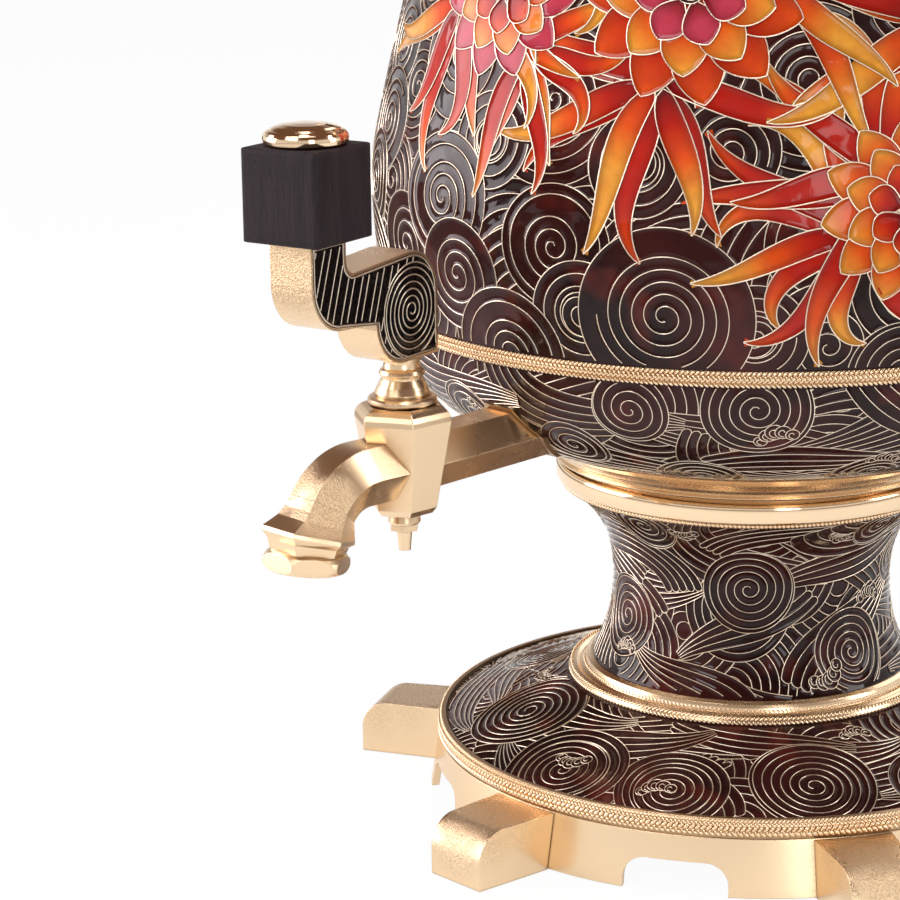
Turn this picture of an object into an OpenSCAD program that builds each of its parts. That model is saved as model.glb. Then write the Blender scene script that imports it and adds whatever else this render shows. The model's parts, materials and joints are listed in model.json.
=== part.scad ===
// Charcoal samovar with an enamelled body, a gilded base on six feet and one plug tap.
// Millimetres. +Z is up, the tap points along -Y, and the origin is on the ground under the body's axis.

/* [Base] */
// Radius of the skirt at the ground
skirt_r = 102.8; // [100:0.1:106]
// Radius of the skirt under the braided rim
skirt_top_r = 99.9; // [98:0.1:100.5]
// Height of the skirt
skirt_h = 17.6; // [15:0.1:20]
// Width of each arch in the skirt
arch_w = 32; // [24:0.5:36]
// Height of each arch above the ground
arch_h = 10; // [8:0.1:13]
// Number of feet
foot_count = 6; // [6:1:6]
// Distance from the axis to a foot's outer end
foot_reach = 128.6; // [120:0.1:134]
// Width of a foot where it meets the skirt
foot_root_w = 23.6; // [18:0.1:28]
// Width of a foot at its outer end
foot_tip_w = 20.9; // [16:0.1:24]
// Height of a foot
foot_h = 17.3; // [14:0.1:17.3]
// Radius of the rounded outer top edge of a foot
foot_round = 9; // [4:0.5:12]
// Radius of the enamelled disc at its rim
disc_rim_r = 97.7; // [96:0.1:98]
// Height of the disc's upper edge at the rim
disc_rim_z = 22.3; // [20:0.1:25]
// Height of the disc's flat top
disc_top_z = 37.4; // [34:0.1:40]

/* [Neck] */
// Radius of the air passage through the disc and the neck's foot
duct_r = 42; // [38:0.5:42]
// Outer radius of the neck's foot
neck_foot_r = 50.3; // [49:0.1:52]
// Height of the neck's foot above the ground
neck_foot_z = 43.1; // [42:0.1:45]
// Radius of the neck's waist
waist_r = 43.6; // [43:0.1:46]
// Height of the waist
waist_z = 70; // [66:1:74]
// Radius of the neck's trumpet-shaped top
neck_top_r = 60.7; // [58:0.1:61]
// Height of the neck's top
neck_top_z = 101.6; // [100:0.1:102]

/* [Body] */
// Height of the bowl's bottom edge
bowl_z = 120.3; // [118:0.1:122]
// Height of the band that joins bowl and upper body
band_z = 155.6; // [150:0.1:160]
// Height of that band
band_h = 4.8; // [4:0.1:6]
// Largest radius of the body
belly_r = 118.2; // [114:0.1:122]
// Height of the largest radius
belly_z = 198; // [190:1:205]
// Height of the body's shoulder
shoulder_z = 316; // [300:1:325]
// Radius of the fire tube, outside
flue_r = 29; // [26:0.5:30]

/* [Tap] */
// Distance from the body's axis to the tap's key
valve_r = 146.3; // [140:0.1:155]
// Height of the water way
water_z = 131.8; // [131:0.1:133]
// Half width of the six-sided spout
bar_w = 10.2; // [9:0.1:10.4]
// Half height of the six-sided spout
bar_h = 8.3; // [7:0.1:8.6]
// Half width of the six-sided pipe
pipe_w = 9.9; // [9:0.1:10.2]
// Half height of the six-sided pipe
pipe_h = 7.7; // [7:0.1:8.2]
// Rise of the pipe towards the body, in degrees
pipe_tilt = 2; // [0:0.5:3]
// Middle radius of the spout's bend
bend_r = 16; // [14:0.5:18]
// Radius of the water way
water_r = 2.6; // [2:0.1:3]
// Radius of the plug
plug_r = 4.8; // [4.6:0.1:5.2]
// Turn of the key away from the spout, as stored
key_turn = 13.7; // [0:0.1:30]
// Thickness of the lever
lever_t = 13.5; // [11:0.1:15]
// Edge length of the wooden grip block
block_w = 25.1; // [20:0.1:26]
// Height of the wooden grip block
block_h = 25.5; // [20:0.1:28]

/* [Handles] */
// Height of the handle arms' undersides
arm_z = 258; // [256:1:262]
// Distance between the middles of a handle's two arms
arm_gap = 62; // [54:1:70]
// Thickness of a handle arm
arm_t = 10; // [8:0.5:12]
// Edge length of the square wooden grip bar
bar_grip_w = 21; // [18:0.5:24]
// Length of the grip bar
bar_grip_l = 88; // [80:1:96]

/* [Lid, crown and cap] */
// Radius of the lid
lid_r = 57.2; // [54:0.1:58]
// Height of the ledge that the lid rests on
lid_z = 339; // [338:0.5:340]
// Height of the fire tube's upper end
flue_top_z = 357; // [356:0.5:360]
// Outer radius of the crown's rim
crown_r = 47; // [42:0.5:52]
// Height of the crown's rim
crown_top_z = 383; // [380:1:390]
// Edge length of the cap's wooden knob
knob_w = 17; // [14:0.5:20]

/* [Hidden] */
$fn = 64;
GOLD = [0.83, 0.62, 0.37];
POLISHED = [0.93, 0.72, 0.44];
BRAID = [0.78, 0.58, 0.34];
ENAMEL = [0.12, 0.07, 0.08];
FLOWER = [0.55, 0.13, 0.06];
WOOD = [0.11, 0.08, 0.08];
STEEL = [0.62, 0.62, 0.63];
TIN = [0.80, 0.80, 0.78];
RUBBER = [0.75, 0.75, 0.72];
seam = 0.1;          // gap between curved faces of neighbouring pieces
shell_t = 1.7;       // thickness of the enamelled casings
tank_gap = 0.6;      // gap between a casing and the tank
tank_t = 1.2;        // wall of the tank
flue_t = 1.6;        // wall of the fire tube
steps = 14;          // facets along each curved profile
// The bowl is part of an ellipse.
bowl_c = 60;
bowl_cz = 157;
bowl_a = 52;
bowl_b = 39;
band_top_z = band_z + band_h;
band_top_r = 114;
// The upper body rises from a parabola into one branch of a hyperbola.
body_slope = 0.25;
body_bend = 12;
// The shoulder is a quarter of an ellipse.
top_band_h = 5;
shoulder_c = 58;
shoulder_a = 32.2;
shoulder_b = 17;
shoulder_z0 = shoulder_z + top_band_h;
disc_top_r = 57.6;
disc_t = 2;
collar_z = 107.8;
body_top_z = 149.4;  // tap body, upper end
body_low_z = 117.5;  // tap body, lower end
body_w = 12.5;       // tap body, half width between two faces
lever_z = 163.4;     // underside of the lever
block_z = 202.6;     // underside of the wooden block
block_s = 42.2;      // distance from the key's axis to the middle of the block
mouth_tilt = 14;     // the mouth leans outwards by this angle
flare = 19;          // the mouth begins to widen this many degrees before the end of the bend
mouth_r = 5.6;       // radius of the hollow in the mouth
bend_s = 16.5;       // distance from the key's axis to the start of the bend
grip_z = arm_z + 28;
grip_x = 138;

function bowl_r(z, d = 0) = bowl_c + (bowl_a - d) * sqrt(max(0, 1 - pow((bowl_cz - z) / (bowl_b - d), 2)));
function bowl_z_at(r, d = 0) = bowl_cz - (bowl_b - d) * sqrt(max(0, 1 - pow((r - bowl_c) / (bowl_a - d), 2)));
function body_r(z) = z < belly_z
    ? belly_r - (belly_r - band_top_r) * pow((belly_z - z) / (belly_z - band_top_z), 2)
    : belly_r - body_slope * (sqrt(pow(z - belly_z, 2) + body_bend * body_bend) - body_bend);
function shoulder_r(z, d = 0) = shoulder_c + (shoulder_a - d) * sqrt(max(0, 1 - pow((z - shoulder_z0) / (shoulder_b - d), 2)));
function between(a, b, i, n) = a + (b - a) * i / n;
function arc(c, r, a0, a1, n = 10) = [for (i = [0:n]) [c[0] + r * cos(between(a0, a1, i, n)), c[1] + r * sin(between(a0, a1, i, n))]];
function backwards(p) = [for (i = [len(p) - 1:-1:0]) p[i]];
// Profiles are lists of [radius, height] from low to high. d moves a profile inwards.
function bowl_line(d = 0) = [for (i = [0:steps]) let (z = between(bowl_z + d * 0.6, band_z, i, steps)) [bowl_r(z, d), z]];
function body_line(d = 0, z0 = band_top_z, z1 = shoulder_z) = [for (i = [0:2 * steps]) let (z = between(z0, z1, i, 2 * steps)) [body_r(z) - d, z]];
function shoulder_line(d = 0) = [for (i = [0:steps]) let (a = between(0, 86, i, steps))
    [shoulder_c + (shoulder_a - d) * cos(a), shoulder_z0 + (shoulder_b - d) * sin(a)]];
function cubic(a, b, c, d, t) = a * pow(1 - t, 3) + 3 * b * t * pow(1 - t, 2) + 3 * c * t * t * (1 - t) + d * pow(t, 3);
function neck_line(d = 0) = concat(
    [for (i = [0:8]) let (p = cubic([neck_foot_r, neck_foot_z], [neck_foot_r - 3.4, neck_foot_z + 7],
        [waist_r, waist_z - 14], [waist_r, waist_z], i / 8)) [p[0] - d, p[1]]],
    [for (i = [1:10]) let (p = cubic([waist_r, waist_z], [waist_r, waist_z + 14],
        [neck_top_r - 12.5, neck_top_z - 8.6], [neck_top_r, neck_top_z], i / 10)) [p[0] - d, p[1]]]);

module ring(points) { rotate_extrude($fn = 128) polygon(points); }
module shell(outer, inner) { ring(concat(outer, backwards(inner))); }
module around(n, start = 0) { for (i = [0:n - 1]) rotate([0, 0, start + i * 360 / n]) children(); }
// A bar with the section of a rounded square, along Z, then the same shape seen from all three sides.
module rounded_square(w, l, r) {
    for (s = [-1, 1]) for (t = [-1, 1]) translate([s * (w / 2 - r), t * (l / 2 - r)]) circle(r, $fn = 32);
    square([w - 2 * r, l], center = true);
    square([w, l - 2 * r], center = true);
}
module rounded_block(w, l, h, r) {
    intersection() {
        linear_extrude(h, center = true) rounded_square(w, l, r);
        rotate([90, 0, 0]) linear_extrude(l, center = true) rounded_square(w, h, r);
        rotate([90, 0, 90]) linear_extrude(w, center = true) rounded_square(l, h, r);
    }
}
// Domed button that stands on z = 0, with a low rim and a rounded crown.
module dome(r, h) {
    ring([for (p = [[0, 0], [0.93, 0], [0.98, 0.12], [1, 0.3], [0.985, 0.46], [0.94, 0.6], [0.88, 0.68], [0.82, 0.71], [0.79, 0.78],
        [0.7, 0.85], [0.5, 0.94], [0.25, 0.985], [0, 1]]) [p[0] * r, p[1] * h]]);
}

// --- base ---
module foot_side() {
    square([foot_reach - foot_round, foot_h]);
    square([foot_reach, foot_h - foot_round]);
    translate([foot_reach - foot_round, foot_h - foot_round]) circle(foot_round, $fn = 64);
}
module foot_plan() {
    polygon([[90, -foot_root_w / 2 - 0.6], [foot_reach + 1, -foot_tip_w / 2],
        [foot_reach + 1, foot_tip_w / 2], [90, foot_root_w / 2 + 0.6]]);
}
module foot(i) {
    color(GOLD) rotate([0, 0, i * 60 - 90]) difference() {
        intersection() {
            rotate([90, 0, 0]) linear_extrude(40, center = true) foot_side();
            linear_extrude(30) foot_plan();
        }
        translate([0, 0, -1]) cylinder(h = skirt_h + 2, r1 = skirt_line(-1) + seam, r2 = skirt_line(skirt_h + 1) + seam, $fn = 128);
        translate([foot_root_x - 1, 0, screw_z]) rotate([0, 90, 0]) cylinder(h = 13, r = 2.05);
    }
}
foot_root_x = 101;     // inner end of a foot
arch_corner = 7;       // radius of the arches' upper corners
screw_z = 8.5;         // height of the foot screws
function skirt_line(z) = skirt_r + (skirt_top_r - skirt_r) * z / skirt_h;
module foot_screws() {
    color(STEEL) around(foot_count, -90) translate([0, 0, screw_z]) rotate([0, 90, 0]) {
        translate([0, 0, 95.2]) cylinder(h = 2.6, r = 3.4);
        translate([0, 0, 97.5]) cylinder(h = 13.5, r = 2);
    }
}
module arch() {
    rotate([90, 0, 90]) linear_extrude(140)
        polygon(concat([[arch_w / 2, -5]], arc([arch_w / 2 - arch_corner, arch_h - arch_corner], arch_corner, 0, 90, 8),
            arc([-arch_w / 2 + arch_corner, arch_h - arch_corner], arch_corner, 90, 180, 8), [[-arch_w / 2, -5]]));
}
module base_skirt() {
    color(GOLD) difference() {
        ring([[skirt_line(0.3), 0.3], [skirt_top_r, skirt_h], [88, skirt_h], [88, skirt_h - 2.4],
            [skirt_line(skirt_h - 2.4) - 2.4, skirt_h - 2.4], [skirt_line(0.3) - 2.4, 0.3]]);
        around(foot_count, -60) arch();
        around(foot_count, -90) translate([90, 0, screw_z]) rotate([0, 90, 0]) cylinder(h = 20, r = 2.15);
        around(foot_count, -90) translate([93, 0, screw_z]) rotate([0, 90, 0]) cylinder(h = 4.9, r = 3.7);
    }
}
module rim_braid() {
    rim_c = disc_rim_r + seam;
    color(BRAID) ring([[rim_c, skirt_h], [skirt_top_r - 0.2, skirt_h], [skirt_top_r + 0.2, skirt_h + 1.2],
        [skirt_top_r + 0.2, skirt_h + 2.6], [skirt_top_r - 0.3, skirt_h + 3.2], [skirt_top_r + 0.1, skirt_h + 3.8],
        [skirt_top_r - 0.1, skirt_h + 5.2], [skirt_top_r - 0.8, skirt_h + 6], [rim_c, skirt_h + 6]]);
}
module base_disc() {
    color(ENAMEL) difference() {
        ring([[duct_r, disc_top_z], [disc_top_r, disc_top_z], [disc_rim_r, disc_rim_z], [disc_rim_r, skirt_h],
            [disc_rim_r - disc_t, skirt_h], [disc_rim_r - disc_t, disc_rim_z - 1.4],
            [disc_top_r - 0.6, disc_top_z - disc_t], [duct_r, disc_top_z - disc_t]]);
        around(3, 30) translate([bolt_r, 0, 30]) cylinder(h = 20, r = 1.65);
    }
}
bolt_r = 45.8;
module base_bolts() {
    color(STEEL) around(3, 30) translate([bolt_r, 0, 0]) {
        translate([0, 0, disc_top_z - disc_t - 2.5]) cylinder(h = 2.5, r = 3);
        translate([0, 0, disc_top_z - disc_t - 0.5]) cylinder(h = 10, r = 1.5);
    }
}

// --- neck ---
module neck_foot_ring() {
    color(BRAID) difference() {
        ring([[duct_r, disc_top_z], [57.6, disc_top_z], [58, disc_top_z + 0.9], [57.3, disc_top_z + 2.3],
            [55.6, disc_top_z + 2.7], [54.4, disc_top_z + 2.1], [53.2, disc_top_z + 2.6], [52.8, disc_top_z + 4],
            [52.4, disc_top_z + 5], [51, neck_foot_z], [duct_r, neck_foot_z]]);
        around(3, 30) translate([bolt_r, 0, 30]) cylinder(h = 20, r = 1.65);
    }
}
module neck() {
    color(ENAMEL) difference() {
        union() {
            shell(neck_line(), neck_line(shell_t));
            ring([[duct_r, neck_foot_z], [neck_foot_r - 0.5, neck_foot_z], [neck_foot_r - 2.2, neck_foot_z + 4], [duct_r, neck_foot_z + 4]]);
        }
        around(3, 30) translate([bolt_r, 0, neck_foot_z - 1]) cylinder(h = 4.2, r = 1.55);
    }
}
module polished_ring() {
    z = neck_top_z;
    color(POLISHED) ring([[50, z], [neck_top_r + 0.2, z], [neck_top_r + 0.7, z + 0.3], [neck_top_r + 1, z + 1.2], [neck_top_r + 1.2, z + 3],
        [neck_top_r + 1.2, collar_z - 1.2], [neck_top_r + 0.9, collar_z - 0.4], [neck_top_r + 0.3, collar_z], [50, collar_z]]);
}
groove_r = 55.5;      // bottom of the shadow groove over the polished ring
module collar_ring() {
    z = collar_z;
    color(GOLD) ring([[50, z], [groove_r, z], [groove_r, z + 1.5], [62.4, z + 1.6], [62.8, z + 2.2], [62.2, z + 2.9],
        [63.4, z + 4.6], [65.6, z + 6.9], [69, z + 9.2], [73.4, z + 10.9], [76.4, z + 11.3], [77.2, z + 11.9],
        [bowl_r(bowl_z), bowl_z - seam], [bowl_line(shell_t)[0][0], bowl_line(shell_t)[0][1] - seam], [tank_low_r, bowl_line(shell_t)[0][1] - seam],
        [tank_low_r - 4, tank_floor_z], [62, tank_floor_z], [60, z + 8], [50, z + 2.5]]);
}

// --- body ---
// The hole that the tap's shank passes through
module shank_hole() { pipe_round(-120, -60, 6.7); }
module lower_bowl() {
    color(ENAMEL) difference() {
        shell(bowl_line(), bowl_line(shell_t));
        shank_hole();
    }
}
module band_braid() {
    z = band_z;
    low = bowl_r(band_z);
    color(BRAID) ring([[low - 2.2, z], [low - 0.1, z], [low + 1, z + 0.7], [low + 1.3, z + 1.6], [low + 0.7, z + 2.3],
        [low + 1.9, z + 3], [low + 2.4, z + 3.9], [band_top_r, z + band_h], [low - 2.2, z + band_h]]);
}
module upper_body() { color(ENAMEL) shell(body_line(), body_line(shell_t)); }
module top_band() {
    r = body_r(shoulder_z);
    z = shoulder_z;
    color(BRAID) ring([[r - 2.2, z], [r, z], [r + 0.9, z + 0.8], [r + 0.9, z + 1.9], [r + 0.3, z + 2.5],
        [r + 0.7, z + 3.2], [r + 0.4, z + 4.4], [r - 0.9, z + top_band_h], [r - 2.4, z + top_band_h]]);
}
module shoulder() {
    color(FLOWER) shell(shoulder_line(), shoulder_line(shell_t));
}
tank_d = shell_t + tank_gap;
tank_low_r = 73;
tank_floor_z = bowl_z + 1.5;
tank_rim_r = 56.5;
function tank_line(d) = concat(
    [for (i = [0:steps]) let (z = between(bowl_z_at(tank_low_r, tank_d) , band_z + 6, i, steps)) [min(bowl_r(min(z, bowl_cz), tank_d), 107) - (d - tank_d), z]],
    [for (i = [0:steps]) let (z = between(band_z + 10, shoulder_z - 2, i, steps)) [min(body_r(z) - d, 107 + (z - band_z) / 2), z]],
    [for (a = [20:11:86]) [tank_rim_r - (d - tank_d) + (shoulder_a - 4) * cos(a), shoulder_z0 + (shoulder_b - 6) * sin(a) - (d - tank_d)]]);
module water_tank() {
    rim_z = shoulder_z0 + shoulder_b - 3;
    color(TIN) difference() {
        ring(concat([[tank_low_r - 5, tank_floor_z], [tank_low_r - 4, tank_floor_z]], tank_line(tank_d),
            [[tank_rim_r, rim_z], [tank_rim_r - tank_t, rim_z]], backwards(tank_line(tank_d + tank_t)), [[tank_low_r - 5, tank_floor_z + tank_t]]));
        shank_hole();
    }
}
// The floor has a thicker hub where the fire tube passes through it.
module tank_floor() {
    r = flue_r + seam;
    color(TIN) ring([[r, tank_floor_z - 1.5], [flue_r + 12, tank_floor_z - 1.5], [flue_r + 12, tank_floor_z], [tank_low_r - 5, tank_floor_z],
        [tank_low_r - 5, tank_floor_z + tank_t], [r, tank_floor_z + tank_t]]);
}
module fire_tube() {
    color(STEEL) ring([[flue_r - flue_t, ledge_z], [flue_r, ledge_z], [flue_r, flue_top_z], [flue_r - flue_t, flue_top_z]]);
}
ledge_z = 108;       // lower end of the fire tube
module grate_ring() {
    color(STEEL) ring([[flue_r - 4.6, ledge_z], [flue_r - flue_t - 0.05, ledge_z], [flue_r - flue_t - 0.05, ledge_z + 2], [flue_r - 4.6, ledge_z + 2]]);
}
module grate() {
    color(STEEL) translate([0, 0, ledge_z + 2]) difference() {
        cylinder(h = 2.4, r = flue_r - flue_t - 0.3);
        translate([0, 0, -1]) for (x = [-16:8:16]) translate([x, 0, 0]) {
            half = sqrt(pow(22, 2) - x * x);
            translate([-1.8, -half, 0]) cube([3.6, 2 * half, 5]);
        }
    }
}
module lid_seat_ring() {
    color(POLISHED) ring([[lid_r - 4.2, lid_z - 4], [lid_r + 0.3, lid_z - 4], [shoulder_c + 1.9, lid_z - 2.7], [shoulder_c + 2.1, lid_z - 1.04],
        [shoulder_c + 3.9, lid_z - 1.04], [shoulder_c + 4.4, lid_z + 0.3],
        [shoulder_c + 3.6, lid_z + 1.8], [shoulder_c + 1.8, lid_z + 2.2], [lid_r + 0.3, lid_z + 2.2],
        [lid_r + 0.3, lid_z], [lid_r - 4.2, lid_z]]);
}

// --- tap: pipe, body and spout stay with the body ---
module bar_section(w = bar_w, h = bar_h) {
    polygon([[-w, 0], [-w / 2, h], [w / 2, h], [w, 0], [w / 2, -h], [-w / 2, -h]]);
}
// The pipe rises towards the body from the middle of the tap.
module pipe_frame() { translate([0, -valve_r, water_z]) rotate([pipe_tilt, 0, 0]) children(); }
module pipe_bar(y0, y1, grow = 0) {
    pipe_frame() translate([0, valve_r + y1, 0]) rotate([90, 0, 0]) linear_extrude(y1 - y0) bar_section(pipe_w + grow * 1.15, pipe_h + grow);
}
module pipe_round(y0, y1, r, n = 64) {
    pipe_frame() translate([0, valve_r + y1, 0]) rotate([90, 0, 0]) cylinder(h = y1 - y0, r = r, $fn = n);
}
module bowl_solid(grow) {
    ring(concat([[0, bowl_z - 6], [bowl_r(bowl_z) + grow, bowl_z - 6]], [for (p = bowl_line()) [p[0] + grow, p[1] - grow * 0.6]], [[0, band_z]]));
}
shank_in = -72;      // inner end of the threaded shank
nut_y = -80;         // face of the nut that presses on the gasket
module tap_pipe() {
    color(GOLD) difference() {
        union() {
            difference() {
                pipe_bar(-valve_r, -80);
                translate([0, -valve_r, 0]) valve_block();
                bowl_solid(seam);
            }
            pipe_round(-114, shank_in, 6.5);
        }
        pipe_round(-160, shank_in + 1, water_r);
    }
}
module pipe_braid() {
    color(BRAID) intersection() {
        difference() {
            pipe_bar(-114, -80, 1.4);
            pipe_bar(-115, -79, seam);
        }
        difference() {
            bowl_solid(1.3);
            bowl_solid(seam);
        }
    }
}
module pipe_gasket() {
    color(RUBBER) difference() {
        intersection() {
            pipe_round(-110, nut_y, 9.4);
            ring(concat([[0, bowl_z - 5], [60, bowl_z - 5]], [for (i = [0:steps]) let (z = between(bowl_z + 3, band_z, i, steps))
                [bowl_r(z, tank_d) - tank_t * 1.4, z]], [[0, band_z]]));
        }
        pipe_round(-120, -60, 6.6);
    }
}
module pipe_nut() {
    color(STEEL) difference() {
        pipe_round(nut_y, nut_y + 5, 9.6, 6);
        pipe_round(nut_y - 1, nut_y + 6, 6.55);
    }
}
// Half outline of the tap body as [share of the half width, height]
body_shape = [[0.45, body_low_z], [0.58, body_low_z + 0.5], [0.675, body_low_z + 2.2], [1, body_top_z - 4.4],
    [0.985, body_top_z - 3], [0.94, body_top_z - 1.7], [0.86, body_top_z - 0.7], [0.76, body_top_z]];
// One pair of opposite faces of the tap body, turned by a
module body_slab(a) {
    rotate([0, 0, a]) rotate([90, 0, 0]) linear_extrude(40, center = true)
        polygon(concat([for (p = body_shape) [p[0] * body_w, p[1]]], backwards([for (p = body_shape) [-p[0] * body_w, p[1]]])));
}
// The six-sided tap body, with one edge towards the spout
module valve_block() {
    intersection() {
        body_slab(0);
        body_slab(60);
        body_slab(-60);
    }
}
module tap_body() {
    color(GOLD) translate([0, -valve_r, 0]) difference() {
        valve_block();
        translate([0, 0, body_low_z - 1]) cylinder(h = 40, r = plug_r + 0.05);
        translate([0, 20, water_z]) rotate([90, 0, 0]) cylinder(h = 40, r = water_r);
    }
}
// One section of the mouth: size k, height z, moved outwards by y and leaning back by a.
module mouth_slice(k, z, y = 0, a = 0) {
    mouth_frame() translate([0, -y, z]) rotate([a, 0, 0]) linear_extrude(0.02) scale([k, k]) bar_section();
}
// Sweeps its flat child through the spout's bend.
module bend() {
    translate([0, -bend_s, water_z - bend_r]) rotate([0, 0, 180]) rotate([0, -90, 0])
        rotate_extrude(angle = 90 - mouth_tilt - flare, $fn = 128) translate([bend_r, 0]) children();
}
// Places its children a degrees before the end of the bend, with the way out along -Z.
module mouth_frame(a = 0) {
    translate([0, -bend_s, water_z - bend_r]) rotate([-mouth_tilt - a, 0, 0]) translate([0, -bend_r, 0]) children();
}
// One section of the flare, a degrees before the end of the bend.
module flare_slice(k, a) { mouth_frame(a) translate([0, 0, -0.03]) linear_extrude(0.02) scale([k, k]) bar_section(); }
module tap_spout() {
    color(GOLD) translate([0, -valve_r, 0]) {
        difference() {
            translate([0, 0, water_z]) rotate([90, 0, 0]) linear_extrude(bend_s) bar_section();
            valve_block();
            translate([0, 1, water_z]) rotate([90, 0, 0]) cylinder(h = bend_s + 2, r = water_r);
        }
        bend() difference() {
            rotate(90) bar_section();
            circle(water_r, $fn = 32);
        }
    }
}
module tap_mouth() {
    color(GOLD) translate([0, -valve_r, 0]) difference() {
        union() {
            hull() { flare_slice(1, flare); flare_slice(1.05, 11); }
            hull() { flare_slice(1.05, 11); mouth_slice(1.13, 1.2, 0.6, -5); }
            hull() { mouth_slice(1.13, 1.2, 0.6, -5); mouth_slice(1.25, -0.5, 1.8, -3); }
            hull() { mouth_slice(1.25, -0.5, 1.8, -3); mouth_slice(1.36, -1.9, 2.7, -2); mouth_slice(1.36, -3, 2.7, -2); }
            hull() { mouth_slice(1.36, -3, 2.7, -2); mouth_slice(1.18, -4.6, 2.3, 1); }
            hull() { mouth_slice(1.18, -4.6, 2.3, 1); mouth_slice(1.1, -7, 1.9, 5); }
            mouth_frame() translate([0, -1.9, -9.5]) rotate([7, 0, 0]) intersection() {
                ring([[0, 2.9], [0, -2.9], [10.2, -2.9], [11.3, -2.3], [12.1, -1.4], [12.4, -0.2], [12.1, 1], [11.2, 2.1], [9.8, 2.9]]);
                linear_extrude(8, center = true) bar_section(bar_w * 1.25, bar_h * 1.27);
            }
        }
        mouth_frame() translate([0, 0, -10]) cylinder(h = 17, r = water_r);
        mouth_frame() translate([0, -1.8, -20]) cylinder(h = 12, r = mouth_r);
    }
}

// --- tap key: everything that turns ---
module key_frame() { translate([0, -valve_r, 0]) rotate([0, 0, key_turn]) children(); }
module key_plug() {
    color(GOLD) key_frame() difference() {
        ring([[0, 106.6], [1.7, 106.6], [2.2, 112], [2.2, body_low_z + 0.2], [plug_r, body_low_z + 0.2], [plug_r, body_top_z + 0.2],
            [9.4, body_top_z + 0.2], [9.8, body_top_z + 0.8], [9.8, body_top_z + 1.7], [9.2, body_top_z + 2.3],
            [7.6, body_top_z + 2.5], [7.8, body_top_z + 3.4], [6.9, body_top_z + 5.4], [5.8, body_top_z + 7.4],
            [6, body_top_z + 8], [6.5, body_top_z + 8.9], [6.1, body_top_z + 9.9], [5.3, body_top_z + 10.5],
            [5.1, body_top_z + 12], [6, lever_z], [0, lever_z]]);
        translate([-20, 0, water_z]) rotate([0, 90, 0]) cylinder(h = 40, r = water_r);
    }
}
module key_washer() {
    z = body_low_z - 2.9;
    color(GOLD) key_frame() ring([[2.25, z], [4.3, z], [4.7, z + 0.6], [4.5, z + 2.7], [2.25, z + 2.7]]);
}
module key_nut() {
    color(GOLD) key_frame() translate([0, 0, body_low_z - 4.9]) difference() {
        cylinder(h = 2, r = 4.3, $fn = 6);
        translate([0, 0, -1]) cylinder(h = 4, r = 2.25);
    }
}
// Side outline of the lever as [distance along the lever, height]. d moves it inwards.
function lever_outline(d = 0) = concat(
    [[-8.3 + d, lever_z + d]],
    arc([8, lever_z + 13.3], 13.3 - d, -90, 0),
    arc([36.5, 177.6 + 13.7], 13.7 - d, -90, 0),
    [[50.2 - d, block_z - d], [34.6 + d, block_z - d]],
    arc([31, 196], 3.6 + d, 0, -87, 4),
    arc([4.4, 181.3], 12.7 - d, 87, 180));
// The lever's outline is drawn along +X and turned to run along -Y.
module lever_side(d, t) { rotate([90, 0, -90]) linear_extrude(t, center = true) polygon(lever_outline(d)); }
module key_lever() {
    color(GOLD) key_frame() difference() {
        lever_side(0, lever_t);
        for (s = [-1, 1]) translate([s * (lever_t / 2), 0, 0]) lever_side(1, 1.8);
        translate([0, -block_s, block_z - 14]) cylinder(h = 20, r = 2.1);
    }
}
module lever_inlays() {
    color(ENAMEL) key_frame() for (s = [-1, 1]) translate([s * (lever_t / 2 - 0.45), 0, 0]) lever_side(1.08, 0.85);
}
module lever_grip() {
    color(WOOD) key_frame() difference() {
        translate([0, -block_s, block_z + block_h / 2]) rounded_block(block_w, block_w, block_h, 1.4);
        translate([0, -block_s, block_z - 1]) cylinder(h = block_h + 2, r = 2.1);
    }
}
module lever_button() {
    color(POLISHED) key_frame() translate([0, -block_s, block_z + block_h]) {
        dome(11.5, 5.8);
        translate([0, 0, -block_h - 12]) cylinder(h = block_h + 12.5, r = 2);
    }
}

// --- handles ---
function arm_outline(d = 0) = concat(
    [[88, arm_z + d]],
    arc([120, arm_z + 11], 11 - d, -90, 0, 8),
    arc([grip_x + 0.5, arm_z + 21], 10 - d, -90, 0, 8),
    [[grip_x + bar_grip_w / 2 - d, grip_z - d], [grip_x - bar_grip_w / 2 + 1 + d, grip_z - d]],
    arc([grip_x - bar_grip_w / 2 - 2, grip_z - 3], 3 + d, 0, -90, 4),
    [[88, grip_z - 6 - d]]);
module arm_side(d, t) { rotate([90, 0, 0]) linear_extrude(t, center = true) polygon(arm_outline(d)); }
module body_solid(grow) {
    ring(concat([[0, arm_z - 12]], [for (p = body_line(-grow, arm_z - 12, arm_z + 36)) p], [[0, arm_z + 36]]));
}
module handle_arms() {
    color(GOLD) for (s = [-1, 1]) translate([0, s * arm_gap / 2, 0]) difference() {
        arm_side(0, arm_t);
        for (t = [-1, 1]) translate([0, t * arm_t / 2, 0]) arm_side(0.9, 1.6);
        translate([0, -s * arm_gap / 2, 0]) body_solid(seam);
        translate([grip_x, 0, arm_z]) cylinder(h = 60, r = 2.1);
        translate([grip_x, 0, arm_z + 9]) cylinder(h = 6, r = 4.2);
    }
}
module handle_inlays() {
    color(ENAMEL) both_sides() for (s = [-1, 1]) for (t = [-1, 1]) difference() {
        translate([0, s * arm_gap / 2 + t * (arm_t / 2 - 0.4), 0]) arm_side(0.98, 0.75);
        body_solid(seam + 0.6);
    }
}
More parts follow.
